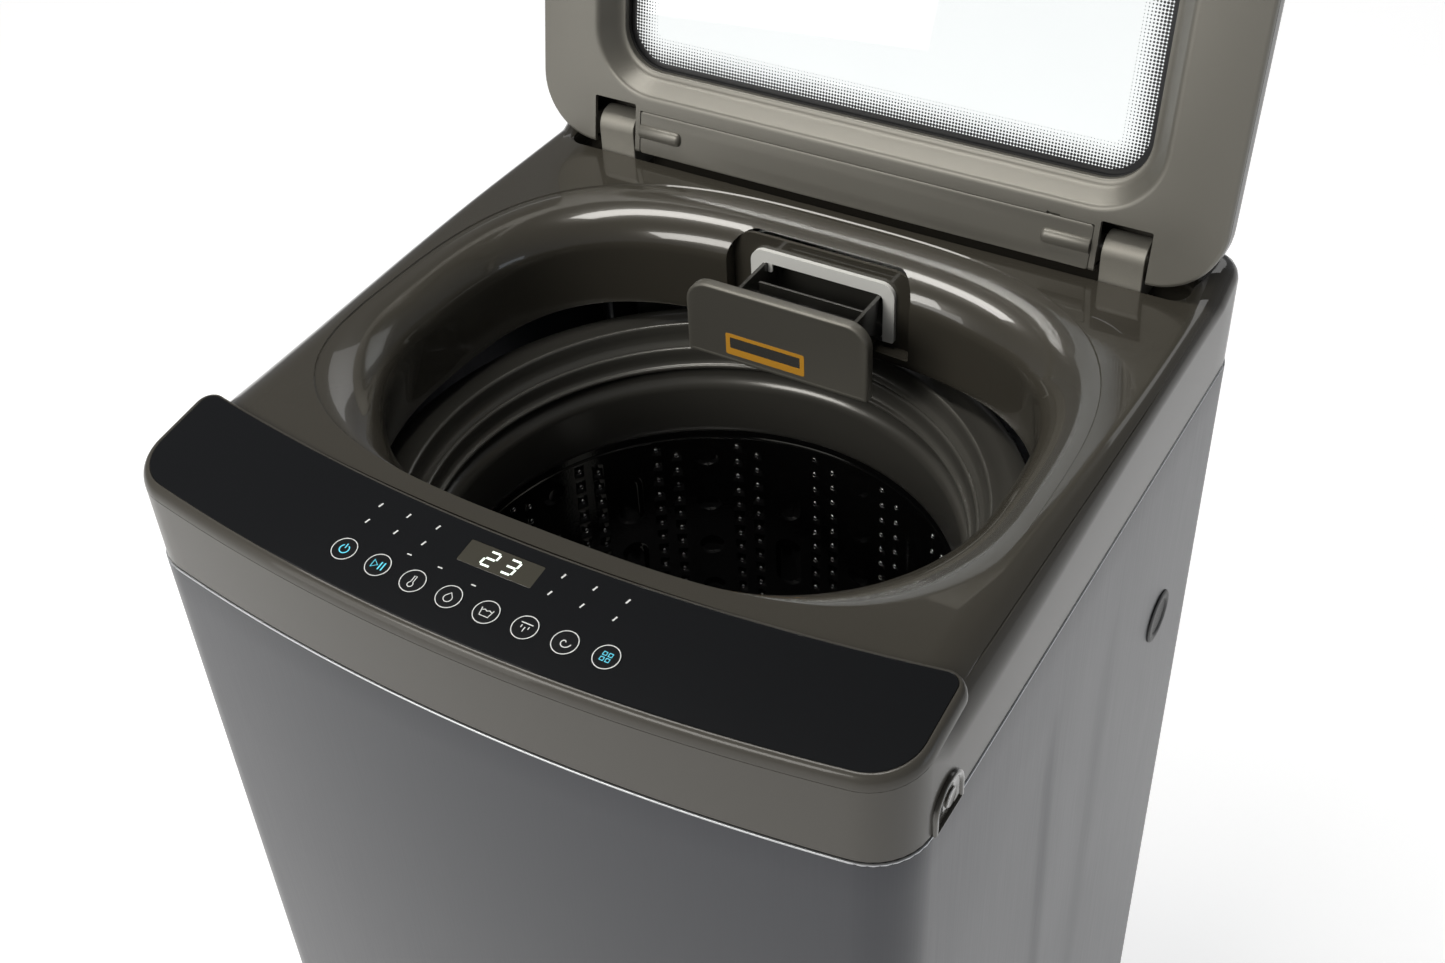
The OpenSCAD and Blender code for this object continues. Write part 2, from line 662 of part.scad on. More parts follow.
module pulley(r, z, bore) translate([0, 0, z]) difference() {
    rotate_extrude() polygon([
        [0, 0], [r + 3, 0], [r + 3, 3], [r - 1, 7], [r - 1, pulley_h - 7],
        [r + 3, pulley_h - 3], [r + 3, pulley_h], [0, pulley_h]]);
    if (bore > 0) for (a = [0:60:300]) rotate(a) translate([bore, 0, -1]) cylinder(r = r / 6, h = pulley_h + 2);
}
module drive_pulley() at_tub() color("#9a9da0") {
    pulley(drive_r, pulley_z, drive_r * 0.6);
    translate([0, 0, pulley_z + pulley_h - eps]) cylinder(r = 8, h = 30);
}
module motor_pulley() color("#9a9da0") translate([0, body_y + motor_y, 0]) {
    pulley(motor_r, pulley_z, 0);
    translate([0, 0, pulley_z + pulley_h - eps]) cylinder(r = 7, h = 36);
}

belt_gap = 0.4;
module belt_loop(d) hull() {
    circle(drive_r - 1 + belt_gap + d, $fn = 96);
    translate([0, belt_span]) circle(motor_r - 1 + belt_gap + d, $fn = 48);
}
module drive_belt() at_tub() color(rubber_black) translate([0, 0, pulley_z + 8])
    linear_extrude(4) difference() {
        belt_loop(2.4);
        belt_loop(0);
    }

module drain_valve() at_body() color("#3a3c40") translate([drain_spot[0], drain_spot[1], 0])
    difference() {
        union() {
            translate([0, 0, 236]) cylinder(r = 24, h = tub_floor_z - 236);
            translate([0, 0, 222]) cylinder(r = 16, h = 16);
            // coil that opens the valve
            translate([-16, 20, 246]) cube([32, 52, 34]);
        }
        translate([0, 0, 200]) cylinder(r = 12, h = 120);
    }

module drain_bellows() at_body() color(rubber_black)
    translate([drain_spot[0], drain_spot[1], 0]) rotate_extrude()
        polygon(concat([[13, 222], [13, 138]],
            [for (i = [0:14]) [i % 2 == 0 ? 16 : 20, 138 + i * 6]]));

module drain_elbow() at_body() color("#3a3c40") difference() {
    union() {
        translate([drain_spot[0], drain_spot[1], 92]) cylinder(r = 17, h = 46);
        translate([drain_spot[0], drain_spot[1], 110]) rotate([-90, 0, 0])
            cylinder(r = drain_r, h = rear_y + 25 - drain_spot[1]);
        translate([drain_spot[0], rear_y - 2 * sheet_t - 3, 110]) rotate([-90, 0, 0]) cylinder(r = 24, h = 3);
    }
    translate([drain_spot[0], drain_spot[1], 95]) cylinder(r = 12, h = 60);
    translate([drain_spot[0], drain_spot[1], 110]) rotate([-90, 0, 0]) cylinder(r = 11, h = 300);
}

// ---- Basket and pulsator ----

module basket_wall() at_tub() color("#6e7072") difference() {
    translate([0, 0, basket_floor_z]) cylinder(r = basket_r + 1, h = basket_h, $fn = 96);
    translate([0, 0, basket_floor_z - 1]) cylinder(r = basket_r, h = basket_h + 2, $fn = 96);
}

module balance_ring() at_tub() color(dark_grey) translate([0, 0, seam_h]) rotate_extrude()
    polygon(concat([[186, -112], [184, -104]],
        arc(196, -70, 12.5, 180, 90, 6), arc(203, -70, 12.5, 90, 0, 6),
        [[215.5, -100], [205, -112]]));

module basket_base() at_tub() color("#4a4b4c") difference() {
    rotate_extrude() polygon([
        [shaft_r + 12, basket_floor_z - 14], [basket_r - 12, basket_floor_z - 14],
        [basket_r, basket_floor_z - 4], [basket_r + 1, basket_floor_z],
        [basket_r - 10, basket_floor_z], [basket_r - 20, basket_floor_z - 8],
        [shaft_r + 12, basket_floor_z - 8]]);
}

hub_z = basket_floor_z - 24;
module basket_hub() at_tub() color(zinc) {
    rotate_extrude() polygon([
        [shaft_r + run_gap, 240], [spin_tube_r, 240], [spin_tube_r, hub_z], [60, hub_z],
        [60, hub_z + 10], [shaft_r + run_gap, hub_z + 10]]);
    for (a = [90:120:330]) rotate(a) translate([56, -14, hub_z + 1]) cube([94, 28, 8]);
}

module lint_filter() at_tub() color(white_plastic) rotate(20) intersection() {
    difference() {
        cylinder(r = basket_r - 0.2, h = 900, $fn = 96);
        translate([0, 0, -1]) cylinder(r = basket_r - 9, h = 902, $fn = 96);
    }
    box([basket_r - 20, -32, basket_floor_z + 50], [basket_r + 10, 32, basket_floor_z + 210]);
}

module pulsator() at_tub() color("#45474a") difference() {
    union() {
        rotate_extrude() polygon([
            [0, basket_floor_z + 2], [pulsator_r - 6, basket_floor_z + 2],
            [pulsator_r, basket_floor_z + 8], [pulsator_r - 2, basket_floor_z + 16],
            [pulsator_r * 0.6, basket_floor_z + 18], [pulsator_r * 0.28, basket_floor_z + 26],
            [0, basket_floor_z + 30]]);
        for (i = [0:vanes - 1]) rotate(360 * i / vanes) hull() {
            translate([34, -7, basket_floor_z + 4]) cube([4, 14, 40]);
            translate([pulsator_r - 26, -9, basket_floor_z + 4]) cube([12, 18, 18]);
        }
    }
    translate([0, 0, basket_floor_z - 1]) cylinder(r = shaft_r, h = 20);
    translate([0, 0, basket_floor_z + 19 - eps]) cylinder(r = 13, h = 40);
}

module pulsator_bolt() at_tub() color(zinc) translate([0, 0, basket_floor_z + 19])
    cylinder(r = 11, h = 7, $fn = 6);

module wash_shaft() at_tub() color(zinc) translate([0, 0, 245])
    cylinder(r = shaft_r, h = basket_floor_z + 19 - 245);

cabinet_wrap();
back_panel();
base_frame();
corner_brackets();
top_cover();
rear_cover();
console_bezel();
control_panel();
display_window();
control_board();
hinge_brackets();
detergent_housing();
inlet_valves();
side_screw_covers();
cabinet_plugs();
panel_screws();
foot_lock_nuts();
rear_feet();
suspension_rods();
suspension_springs();
cord_gland();
drain_elbow();
drain_bellows();
key_power();
key_start();
key_temperature();
key_water();
key_soak();
key_rinse();
key_spin();
key_mode();
front_foot_left();
front_foot_right();
lid_shell();
lid_inner_frame();
lid_glass();
lid_gasket();
hinge_strip();
hinge_pins();
lid_dampers();
drawer_tray();
drawer_front();
siphon_insert();
outer_tub();
tub_cover();
tub_base_plate();
motor();
gearbox();
drive_belt();
drain_valve();
basket_wall();
basket_base();
balance_ring();
basket_hub();
lint_filter();
pulsator();
pulsator_bolt();
wash_shaft();
drive_pulley();
motor_pulley();
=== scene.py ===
"""Looks of the top load washing machine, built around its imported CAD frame.

Shapes are drawn in machine millimetres: x to the right of someone facing the front, y to the
back from the middle of the cabinet, z up from the floor. Lid pieces are drawn closed, in
millimetres about the hinge axis. Both are turned into the frame's metres as they are made.
"""

import json
import math

import bmesh
import bpy
import numpy as np
from mathutils import Matrix, Vector


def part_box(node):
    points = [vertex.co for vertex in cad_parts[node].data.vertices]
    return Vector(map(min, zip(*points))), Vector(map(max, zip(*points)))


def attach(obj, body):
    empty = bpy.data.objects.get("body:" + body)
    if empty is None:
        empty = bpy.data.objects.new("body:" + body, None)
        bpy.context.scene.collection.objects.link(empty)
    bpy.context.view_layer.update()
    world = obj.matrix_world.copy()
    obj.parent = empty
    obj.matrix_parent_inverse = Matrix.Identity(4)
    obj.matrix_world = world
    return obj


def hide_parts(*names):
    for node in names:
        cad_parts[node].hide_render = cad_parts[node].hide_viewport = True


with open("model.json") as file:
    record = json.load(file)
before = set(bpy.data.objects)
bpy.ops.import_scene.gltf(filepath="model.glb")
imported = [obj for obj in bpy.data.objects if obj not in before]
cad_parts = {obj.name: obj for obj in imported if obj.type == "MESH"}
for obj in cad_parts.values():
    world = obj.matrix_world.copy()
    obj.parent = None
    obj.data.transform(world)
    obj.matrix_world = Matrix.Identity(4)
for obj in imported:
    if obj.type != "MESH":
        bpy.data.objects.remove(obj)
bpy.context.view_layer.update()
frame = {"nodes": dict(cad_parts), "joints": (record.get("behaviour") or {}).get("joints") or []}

MM = 0.001
wrap_low, wrap_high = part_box("cabinet_wrap")
BODY_Y = (wrap_low.y + wrap_high.y) / 2
HALF_W = wrap_high.x / MM
HALF_D = (wrap_high.y - wrap_low.y) / 2 / MM
SEAM = wrap_high.z / MM
BASE = wrap_low.z / MM
JOINTS = {joint["name"]: joint for joint in frame["joints"]}
HINGE = Vector(JOINTS["lid_hinge"]["pos_m"])
LID_OPEN = math.radians(JOINTS["lid_hinge"]["range_deg"][1])
TUB = Vector(JOINTS["basket_spin"]["pos_m"])
TUB_Y = (TUB.y - BODY_Y) / MM
HINGE_Y = (HINGE.y - BODY_Y) / MM
HINGE_UP = HINGE.z / MM - SEAM


# ---- Numbers and outlines ----

def mix(a, b, t):
    return a + (b - a) * t


def smoothstep(a, b, v):
    t = min(1.0, max(0.0, (v - a) / (b - a)))
    return t * t * (3 - 2 * t)


def arc(cx, cy, r, a0, a1, n):
    """n + 1 points of a circle, from angle a0 to a1 in degrees."""
    steps = [math.radians(a0 + (a1 - a0) * i / n) for i in range(n + 1)]
    return [(cx + r * math.cos(a), cy + r * math.sin(a)) for a in steps]


def distinct(points):
    """A closed outline without points that repeat."""
    return [p for i, p in enumerate(points) if math.dist(p, points[i - 1]) > 1e-4]


def rounded(x0, y0, x1, y1, radius, n=8):
    """A rectangle whose four corners take the radius, or a radius each from low x, low y on."""
    r = radius if isinstance(radius, (list, tuple)) else [radius] * 4
    return distinct(
        arc(x0 + r[0], y0 + r[0], r[0], 180, 270, n)
        + arc(x1 - r[1], y0 + r[1], r[1], 270, 360, n)
        + arc(x1 - r[2], y1 - r[2], r[2], 0, 90, n)
        + arc(x0 + r[3], y1 - r[3], r[3], 90, 180, n))


def dense(points, step):
    """A closed outline with its long edges divided."""
    found = []
    for i, p in enumerate(points):
        q = points[(i + 1) % len(points)]
        count = max(1, round(math.dist(p, q) / step))
        found += [(mix(p[0], q[0], k / count), mix(p[1], q[1], k / count)) for k in range(count)]
    return found


def polar(outline, centre, angles):
    """Where rays from the centre, at angles in radians, meet an outline that each crosses once."""
    points = np.array(outline) - np.array(centre)
    turn = np.unwrap(np.arctan2(points[:, 1], points[:, 0]))
    if turn[-1] < turn[0]:
        points, turn = points[::-1], turn[::-1]
    points = np.vstack([points, points[:1]])
    turn = np.append(turn, turn[0] + 2 * math.pi)
    found = []
    for a in angles:
        a = turn[0] + (a - turn[0]) % (2 * math.pi)
        i = min(int(np.searchsorted(turn, a, side="right")) - 1, len(turn) - 2)
        p, q = points[i], points[i + 1]
        ray = np.array([math.cos(a), math.sin(a)])
        edge = q - p
        cross = ray[0] * edge[1] - ray[1] * edge[0]
        reach = (p[0] * edge[1] - p[1] * edge[0]) / cross
        found.append((centre[0] + ray[0] * reach, centre[1] + ray[1] * reach))
    return found


def bearings(outlines, centre, closest=0.5):
    """The angles from a centre of all the outlines' points, sorted, none closer than closest degrees."""
    angles = sorted(math.atan2(y - centre[1], x - centre[0]) for line in outlines for x, y in line)
    kept = [angles[0]]
    for a in angles[1:]:
        if a - kept[-1] > math.radians(closest):
            kept.append(a)
    return kept


# Plan of the body: a bowed front, one arc tangent to two corner arcs, and a flat back
BOW = 26
FRONT_R = 38
REAR_R = 25
BOW_R = (HALF_W ** 2 + BOW ** 2) / (2 * BOW)
BOW_Y = BOW_R - HALF_D
CORNER_X = HALF_W - FRONT_R
CORNER_Y = BOW_Y - math.sqrt((BOW_R - FRONT_R) ** 2 - CORNER_X ** 2)
CORNER_A = math.degrees(math.atan2(CORNER_Y - BOW_Y, CORNER_X))


def front_arcs(inset):
    """The bowed front and its right corner, then its left corner."""
    bow = arc(0, BOW_Y, BOW_R - inset, -180 - CORNER_A, CORNER_A, 48)
    right = arc(CORNER_X, CORNER_Y, FRONT_R - inset, CORNER_A, 0, 16)
    return bow + right, arc(-CORNER_X, CORNER_Y, FRONT_R - inset, 180, 180 - CORNER_A, 16)


def body_outline(inset=0.0):
    front, left = front_arcs(inset)
    return distinct(
        front
        + arc(HALF_W - REAR_R, HALF_D - REAR_R, REAR_R - inset, 0, 90, 12)
        + arc(REAR_R - HALF_W, HALF_D - REAR_R, REAR_R - inset, 90, 180, 12)
        + left)


# ---- Meshes ----

def at_machine(p):
    """A point in machine millimetres, in the frame's metres."""
    return Vector((p[0] * MM, p[1] * MM + BODY_Y, p[2] * MM))


def at_lid(p):
    """A point of the closed lid, in millimetres about its hinge axis, as the lid stands open."""
    c, s = math.cos(LID_OPEN), math.sin(LID_OPEN)
    return HINGE + Vector((p[0], p[1] * c + p[2] * s, p[2] * c - p[1] * s)) * MM


def level(outline, z):
    return [(x, y, z) for x, y in outline]


def loft(loops, ring=False, caps=True):
    """Quads between loops of equal length. A ring joins the last loop to the first."""
    n = len(loops[0])
    points = [p for loop in loops for p in loop]
    faces = []
    for j in range(len(loops) if ring else len(loops) - 1):
        a, b = j * n, (j + 1) % len(loops) * n
        faces += [(a + i, a + (i + 1) % n, b + (i + 1) % n, b + i) for i in range(n)]
    if caps and not ring:
        faces += [tuple(range(n))[::-1], tuple(range(len(points) - n, len(points)))]
    return points, faces


def lathe(profile, centre=(0, 0), n=96, ring=True, caps=True):
    """A profile of (radius, height) turned about the upright line through the centre."""
    loops = [[(x, y, z) for x, y in arc(*centre, r, 0, 360, n)[:-1]] for r, z in profile]
    return loft(loops, ring, caps)


def block(p, q):
    """A box between two corners."""
    return loft([level([(p[0], p[1]), (q[0], p[1]), (q[0], q[1]), (p[0], q[1])], z) for z in (p[2], q[2])])


def slab(outline, z0, z1):
    return loft([level(outline, z0), level(outline, z1)])


def stand(geometry, origin=(0, 0, 0), axis="y"):
    """Geometry drawn about the z axis, laid along the y or x axis from an origin."""
    turned = {"y": lambda p: (p[0], p[2], p[1]), "x": lambda p: (p[2], p[0], p[1]),
              "z": lambda p: p}[axis]
    points = [tuple(a + b for a, b in zip(turned(p), origin)) for p in geometry[0]]
    return points, geometry[1]


def turned(geometry, degrees, centre=(0, 0)):
    """Geometry turned about the upright line through the centre."""
    c, s = math.cos(math.radians(degrees)), math.sin(math.radians(degrees))
    points = [(centre[0] + (x - centre[0]) * c - (y - centre[1]) * s,
               centre[1] + (x - centre[0]) * s + (y - centre[1]) * c, z) for x, y, z in geometry[0]]
    return points, geometry[1]


def moved(geometry, x=0.0, y=0.0, z=0.0):
    return [(p[0] + x, p[1] + y, p[2] + z) for p in geometry[0]], geometry[1]


def spun(profile, at=(0, 0, 0), axis="z", n=48, ring=False):
    """A profile of (radius, distance) turned about an axis through a point."""
    return moved(stand(lathe(profile, n=n, ring=ring), axis=axis), *at)


def rod(r, start, end, at=(0, 0, 0), axis="z", n=48):
    return spun([(r, start), (r, end)], at, axis, n)


def joined(*geometries):
    """Several geometries as one mesh of separate closed shells."""
    points, faces = [], []
    for more_points, more_faces in geometries:
        start = len(points)
        points += list(more_points)
        faces += [tuple(start + i for i in face) for face in more_faces]
    return points, faces


def sweep(path, section, closed=False):
    """A section of (side, up) points carried along a path of points, upright in z."""
    loops = []
    for i, p in enumerate(path):
        before = path[i - 1] if i or closed else p
        after = path[(i + 1) % len(path)] if i < len(path) - 1 or closed else p
        along = Vector(after) - Vector(before)
        side = Vector((along.y, -along.x, 0)).normalized()
        up = side.cross(along).normalized()
        loops.append([tuple(Vector(p) + side * s + up * u) for s, u in section])
    return loft(loops, ring=closed)


def circle_section(r, n=12):
    return arc(0, 0, r, 0, 360, n)[:-1]


def shell(outer, inner):
    """A closed sheet between two matching grids of points."""
    rows, columns = len(outer), len(outer[0])
    points = [p for row in outer for p in row] + [p for row in inner for p in row]
    far = rows * columns
    faces = []
    for j in range(rows - 1):
        for i in range(columns - 1):
            a = j * columns + i
            quad = (a, a + 1, a + columns + 1, a + columns)
            faces += [quad, tuple(far + k for k in reversed(quad))]
    rim = ([i for i in range(columns)] + [j * columns + columns - 1 for j in range(1, rows)]
           + [(rows - 1) * columns + i for i in range(columns - 2, -1, -1)]
           + [j * columns for j in range(rows - 2, 0, -1)])
    faces += [(a, far + a, far + b, b) for a, b in zip(rim, rim[1:] + rim[:1])]
    return points, faces


def linked(name, data):
    obj = bpy.data.objects.new(name, data)
    bpy.context.scene.collection.objects.link(obj)
    return obj


def solid(name, geometry, place=at_machine):
    """A mesh object from geometry, with its faces turned outwards."""
    points, faces = geometry
    mesh = bpy.data.meshes.new(name)
    mesh.from_pydata([place(p) for p in points], [], faces)
    work = bmesh.new()
    work.from_mesh(mesh)
    bmesh.ops.recalc_face_normals(work, faces=work.faces)
    work.to_mesh(mesh)
    work.free()
    return linked(name, mesh)


def bake_modifiers(obj):
    """Applies the object's modifiers to its mesh."""
    graph = bpy.context.evaluated_depsgraph_get()
    made = bpy.data.meshes.new_from_object(obj.evaluated_get(graph))
    obj.modifiers.clear()
    obj.data = made


def carve(obj, *cutters, how="DIFFERENCE", place=at_machine):
    """Cuts, keeps or adds closed geometries with exact booleans."""
    tools = [solid("cutter", geometry, place) for geometry in cutters]
    for tool in tools:
        cut = obj.modifiers.new("cut", "BOOLEAN")
        cut.operation = how
        cut.solver = "EXACT"
        cut.object = tool
    bake_modifiers(obj)
    for tool in tools:
        bpy.data.objects.remove(tool)
    return obj


def soften(obj, width, angle, segments=2):
    """Bevels the edges sharper than an angle in degrees, by a width in millimetres."""
    soft = obj.modifiers.new("soft_edges", "BEVEL")
    soft.width = width * MM
    soft.segments = segments
    soft.limit_method = "ANGLE"
    soft.angle_limit = math.radians(angle)
    soft.harden_normals = True


def piece(obj, body, material, slot, stands_for=(), sharp=32, bevel=0.0, segments=2):
    """Shades an object, softens its edges by a bevel in millimetres and hangs it on its body."""
    obj.data.shade_smooth()
    obj.data.set_sharp_from_angle(angle=math.radians(sharp))
    obj.data.materials.clear()
    obj.data.materials.append(material)
    if bevel:
        soften(obj, bevel, sharp, segments)
    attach(obj, body)
    if stands_for:
        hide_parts(*stands_for)
    return obj


def make(name, geometry, body, material, slot, stands_for=(), place=at_machine, **shading):
    return piece(solid(name, geometry, place), body, material, slot, stands_for, **shading)


def dress(node, material, bevel=0.0):
    """Gives a CAD node that stays its finish, and soft edges."""
    obj = frame["nodes"][node]
    obj.data.materials.clear()
    obj.data.materials.append(material)
    if bevel:
        weld = obj.modifiers.new("weld", "WELD")
        weld.merge_threshold = 0.00001
        soften(obj, bevel, 35)


# ---- Camera, stage and light ----

LENS = 43.64
CAMERA_AT = (0.5099, -0.7951, 1.6011)
CAMERA_AZIMUTH = math.radians(32.7)
CAMERA_DOWN = math.radians(39.85)
CAMERA_ROLL = math.radians(-3.18)
FLOOR_GLOW = 0.72
WORLD_HORIZON = (0.2, 0.205, 0.22)
WORLD_ZENITH = (0.1, 0.1, 0.1)


def add_camera():
    data = bpy.data.cameras.new("camera")
    data.lens = LENS
    data.sensor_width = 36
    data.clip_start = 0.05
    data.clip_end = 60
    camera = linked("camera", data)
    forward = Vector((-math.sin(CAMERA_AZIMUTH) * math.cos(CAMERA_DOWN),
                      math.cos(CAMERA_AZIMUTH) * math.cos(CAMERA_DOWN), -math.sin(CAMERA_DOWN)))
    upright = forward.to_track_quat("-Z", "Y").to_matrix()
    camera.matrix_world = (Matrix.Translation(CAMERA_AT)
                           @ (upright @ Matrix.Rotation(CAMERA_ROLL, 3, "Z")).to_4x4())
    bpy.context.scene.camera = camera


def add_floor():
    size = 14
    mesh = bpy.data.meshes.new("floor")
    mesh.from_pydata([(-size, -size, 0), (size, -size, 0), (size, size, 0), (-size, size, 0)], [],
                     [(0, 1, 2, 3)])
    floor = linked("floor", mesh)
    material = bpy.data.materials.new("pale_floor")
    material.use_nodes = True
    shader = material.node_tree.nodes["Principled BSDF"]
    shader.inputs["Base Color"].default_value = (0.62, 0.62, 0.62, 1)
    shader.inputs["Roughness"].default_value = 0.9
    shader.inputs["Specular IOR Level"].default_value = 0.1
    shader.inputs["Emission Color"].default_value = (1, 1, 1, 1)
    shader.inputs["Emission Strength"].default_value = FLOOR_GLOW
    mesh.materials.append(material)


def add_softbox(name, at, aim, width, height, power, colour=(1, 1, 1)):
    data = bpy.data.lights.new(name, "AREA")
    data.shape = "RECTANGLE"
    data.size = width
    data.size_y = height
    data.energy = power
    data.color = colour
    light = linked(name, data)
    light.location = at
    light.rotation_mode = "QUATERNION"
    light.rotation_quaternion = (Vector(aim) - Vector(at)).to_track_quat("-Z", "Y")


def add_world():
    """A studio that is bright at the horizon and dims towards the zenith."""
    world = bpy.data.worlds.new("studio")
    world.use_nodes = True
    nodes, links = world.node_tree.nodes, world.node_tree.links
    place = nodes.new("ShaderNodeTexCoord")
    split = nodes.new("ShaderNodeSeparateXYZ")
    ramp = nodes.new("ShaderNodeValToRGB")
    links.new(place.outputs["Generated"], split.inputs[0])
    links.new(split.outputs["Z"], ramp.inputs["Fac"])
    ramp.color_ramp.elements[0].position = 0.0
    ramp.color_ramp.elements[0].color = (*WORLD_HORIZON, 1)
    ramp.color_ramp.elements[1].position = 0.9
    ramp.color_ramp.elements[1].color = (*WORLD_ZENITH, 1)
    links.new(ramp.outputs["Color"], nodes["Background"].inputs["Color"])
    nodes["Background"].inputs["Strength"].default_value = 1.0
    bpy.context.scene.world = world


# ---- Finishes ----

def finish(name, colour, roughness, metallic=0.0, coat=0.0, coat_roughness=0.04, tint=0.08,
           spread=0.06, blotch=18, grain=900, bump=0.02, stretch=(1, 1, 1), specular=0.5):
    """A surface whose colour, roughness and relief vary in blotches and in a fine grain.

    blotch and grain are noise scales per metre, and stretch squeezes the grain along an axis.
    """
    material = bpy.data.materials.new(name)
    material.use_nodes = True
    nodes, links = material.node_tree.nodes, material.node_tree.links
    shader = nodes["Principled BSDF"]
    shader.inputs["Metallic"].default_value = metallic
    shader.inputs["Coat Weight"].default_value = coat
    shader.inputs["Coat Roughness"].default_value = coat_roughness
    shader.inputs["Specular IOR Level"].default_value = specular
    place = nodes.new("ShaderNodeTexCoord")
    squeeze = nodes.new("ShaderNodeMapping")
    squeeze.inputs["Scale"].default_value = stretch
    links.new(place.outputs["Object"], squeeze.inputs["Vector"])

    def noise(scale, vector, detail=2.0):
        node = nodes.new("ShaderNodeTexNoise")
        node.inputs["Scale"].default_value = scale
        node.inputs["Detail"].default_value = detail
        links.new(vector, node.inputs["Vector"])
        return node.outputs["Fac"]

    clouds = noise(blotch, place.outputs["Object"], 3.0)
    fine = noise(grain, squeeze.outputs["Vector"])
    shades = nodes.new("ShaderNodeMix")
    shades.data_type = "RGBA"
    shades.inputs["A"].default_value = (*[c * (1 - tint) for c in colour], 1)
    shades.inputs["B"].default_value = (*[min(1, c * (1 + tint)) for c in colour], 1)
    both = nodes.new("ShaderNodeMath")
    both.operation = "MULTIPLY_ADD"
    both.inputs[1].default_value = 0.5
    links.new(clouds, both.inputs[0])
    half = nodes.new("ShaderNodeMath")
    half.operation = "MULTIPLY"
    half.inputs[1].default_value = 0.5
    links.new(fine, half.inputs[0])
    links.new(half.outputs[0], both.inputs[2])
    links.new(both.outputs[0], shades.inputs["Factor"])
    links.new(shades.outputs["Result"], shader.inputs["Base Color"])
    rough = nodes.new("ShaderNodeMapRange")
    rough.inputs["To Min"].default_value = max(0.0, roughness - spread)
    rough.inputs["To Max"].default_value = min(1.0, roughness + spread)
    links.new(both.outputs[0], rough.inputs["Value"])
    links.new(rough.outputs["Result"], shader.inputs["Roughness"])
    relief = nodes.new("ShaderNodeBump")
    relief.inputs["Strength"].default_value = bump
    relief.inputs["Distance"].default_value = 0.001
    links.new(fine, relief.inputs["Height"])
    links.new(relief.outputs["Normal"], shader.inputs["Normal"])
    return material


def glowing(name, colour, strength):
    material = finish(name, colour, 0.4, tint=0.03, bump=0.0)
    shader = material.node_tree.nodes["Principled BSDF"]
    shader.inputs["Emission Color"].default_value = (*colour, 1)
    shader.inputs["Emission Strength"].default_value = strength
    return material


def see_through(name, colour, roughness, clear):
    material = finish(name, colour, roughness, tint=0.02, spread=0.01, bump=0.0)
    shader = material.node_tree.nodes["Principled BSDF"]
    shader.inputs["Transmission Weight"].default_value = clear
    shader.inputs["IOR"].default_value = 1.45
    return material


COVER = finish("cover_plastic", (0.05, 0.0455, 0.036), 0.24, metallic=0.12, coat=0.8, coat_roughness=0.03,
               tint=0.1, spread=0.03, blotch=6, grain=2600, bump=0.012, specular=0.3)
SIDE_COVER = finish("side_cover_plastic", (0.058, 0.054, 0.046), 0.3, metallic=0.05, coat=0.25,
                    coat_roughness=0.04, tint=0.1, spread=0.03, blotch=6, grain=2600, bump=0.012,
                    specular=0.15)
SATIN = finish("satin_plastic", (0.15, 0.143, 0.122), 0.42, metallic=0.45, coat=0.25, coat_roughness=0.35,
               tint=0.12, spread=0.05, blotch=7, grain=3000, bump=0.03)
KNUCKLE = finish("knuckle_plastic", (0.22, 0.21, 0.18), 0.5, metallic=0.4, coat=0.15, coat_roughness=0.4,
                 tint=0.25, spread=0.08, blotch=60, grain=1500, bump=0.08)
STEEL = finish("cabinet_steel", (0.045, 0.0465, 0.052), 0.36, metallic=0.75, coat=0.08, coat_roughness=0.25,
               tint=0.14, spread=0.07, blotch=3, grain=700, bump=0.03, stretch=(1, 1, 0.02))
ZINC = finish("zinc_steel", (0.5, 0.51, 0.52), 0.42, metallic=0.9, tint=0.18, spread=0.12, blotch=90,
              grain=600, bump=0.03)
RING = finish("ring_plastic", (0.075, 0.072, 0.063), 0.3, metallic=0.35, coat=0.5, coat_roughness=0.12,
              tint=0.12, spread=0.06, blotch=12, grain=2200, bump=0.03)
PANEL = finish("panel_black", (0.006, 0.0065, 0.0075), 0.1, coat=0.0, tint=0.2,
               spread=0.02, blotch=5, grain=2000, bump=0.004)
KEY = finish("key_black", (0.007, 0.0075, 0.0085), 0.12, coat=0.0, coat_roughness=0.05, tint=0.2,
             spread=0.03, blotch=40, grain=2400, bump=0.01)
RIM = finish("rim_metal", (0.33, 0.32, 0.29), 0.25, metallic=0.85, coat=0.4, tint=0.1, spread=0.05,
             blotch=30, grain=1800, bump=0.02)
WINDOW = finish("window_smoke", (0.05, 0.047, 0.036), 0.12, coat=0.6, tint=0.06, spread=0.02,
                blotch=30, grain=1600, bump=0.004)
PRINT = glowing("print_white", (0.62, 0.63, 0.62), 0.12)
PRINT_BLUE = glowing("print_blue", (0.08, 0.55, 0.72), 0.35)
DIGIT = glowing("digit_glow", (0.78, 0.86, 0.78), 0.9)
BOARD = finish("board_green", (0.02, 0.11, 0.05), 0.4, coat=0.4, tint=0.2, blotch=120, grain=900, bump=0.1)
DARK = finish("base_plastic", (0.03, 0.03, 0.029), 0.5, tint=0.2, spread=0.1, blotch=30, grain=1400,
              bump=0.25)
WHITE = finish("white_plastic", (0.72, 0.72, 0.69), 0.36, tint=0.03, spread=0.06, blotch=14, grain=1500,
               bump=0.05)
TUB_GREY = finish("tub_plastic", (0.3, 0.31, 0.32), 0.5, tint=0.08, spread=0.08, blotch=10, grain=900,
                  bump=0.15)
BASKET = finish("basket_steel", (0.07, 0.07, 0.068), 0.11, metallic=0.95, tint=0.15, spread=0.05,
                blotch=25, grain=500, bump=0.04)
BRIGHT = finish("plain_steel", (0.6, 0.6, 0.6), 0.22, metallic=1.0, tint=0.08, spread=0.08, blotch=60,
                grain=900, bump=0.03)
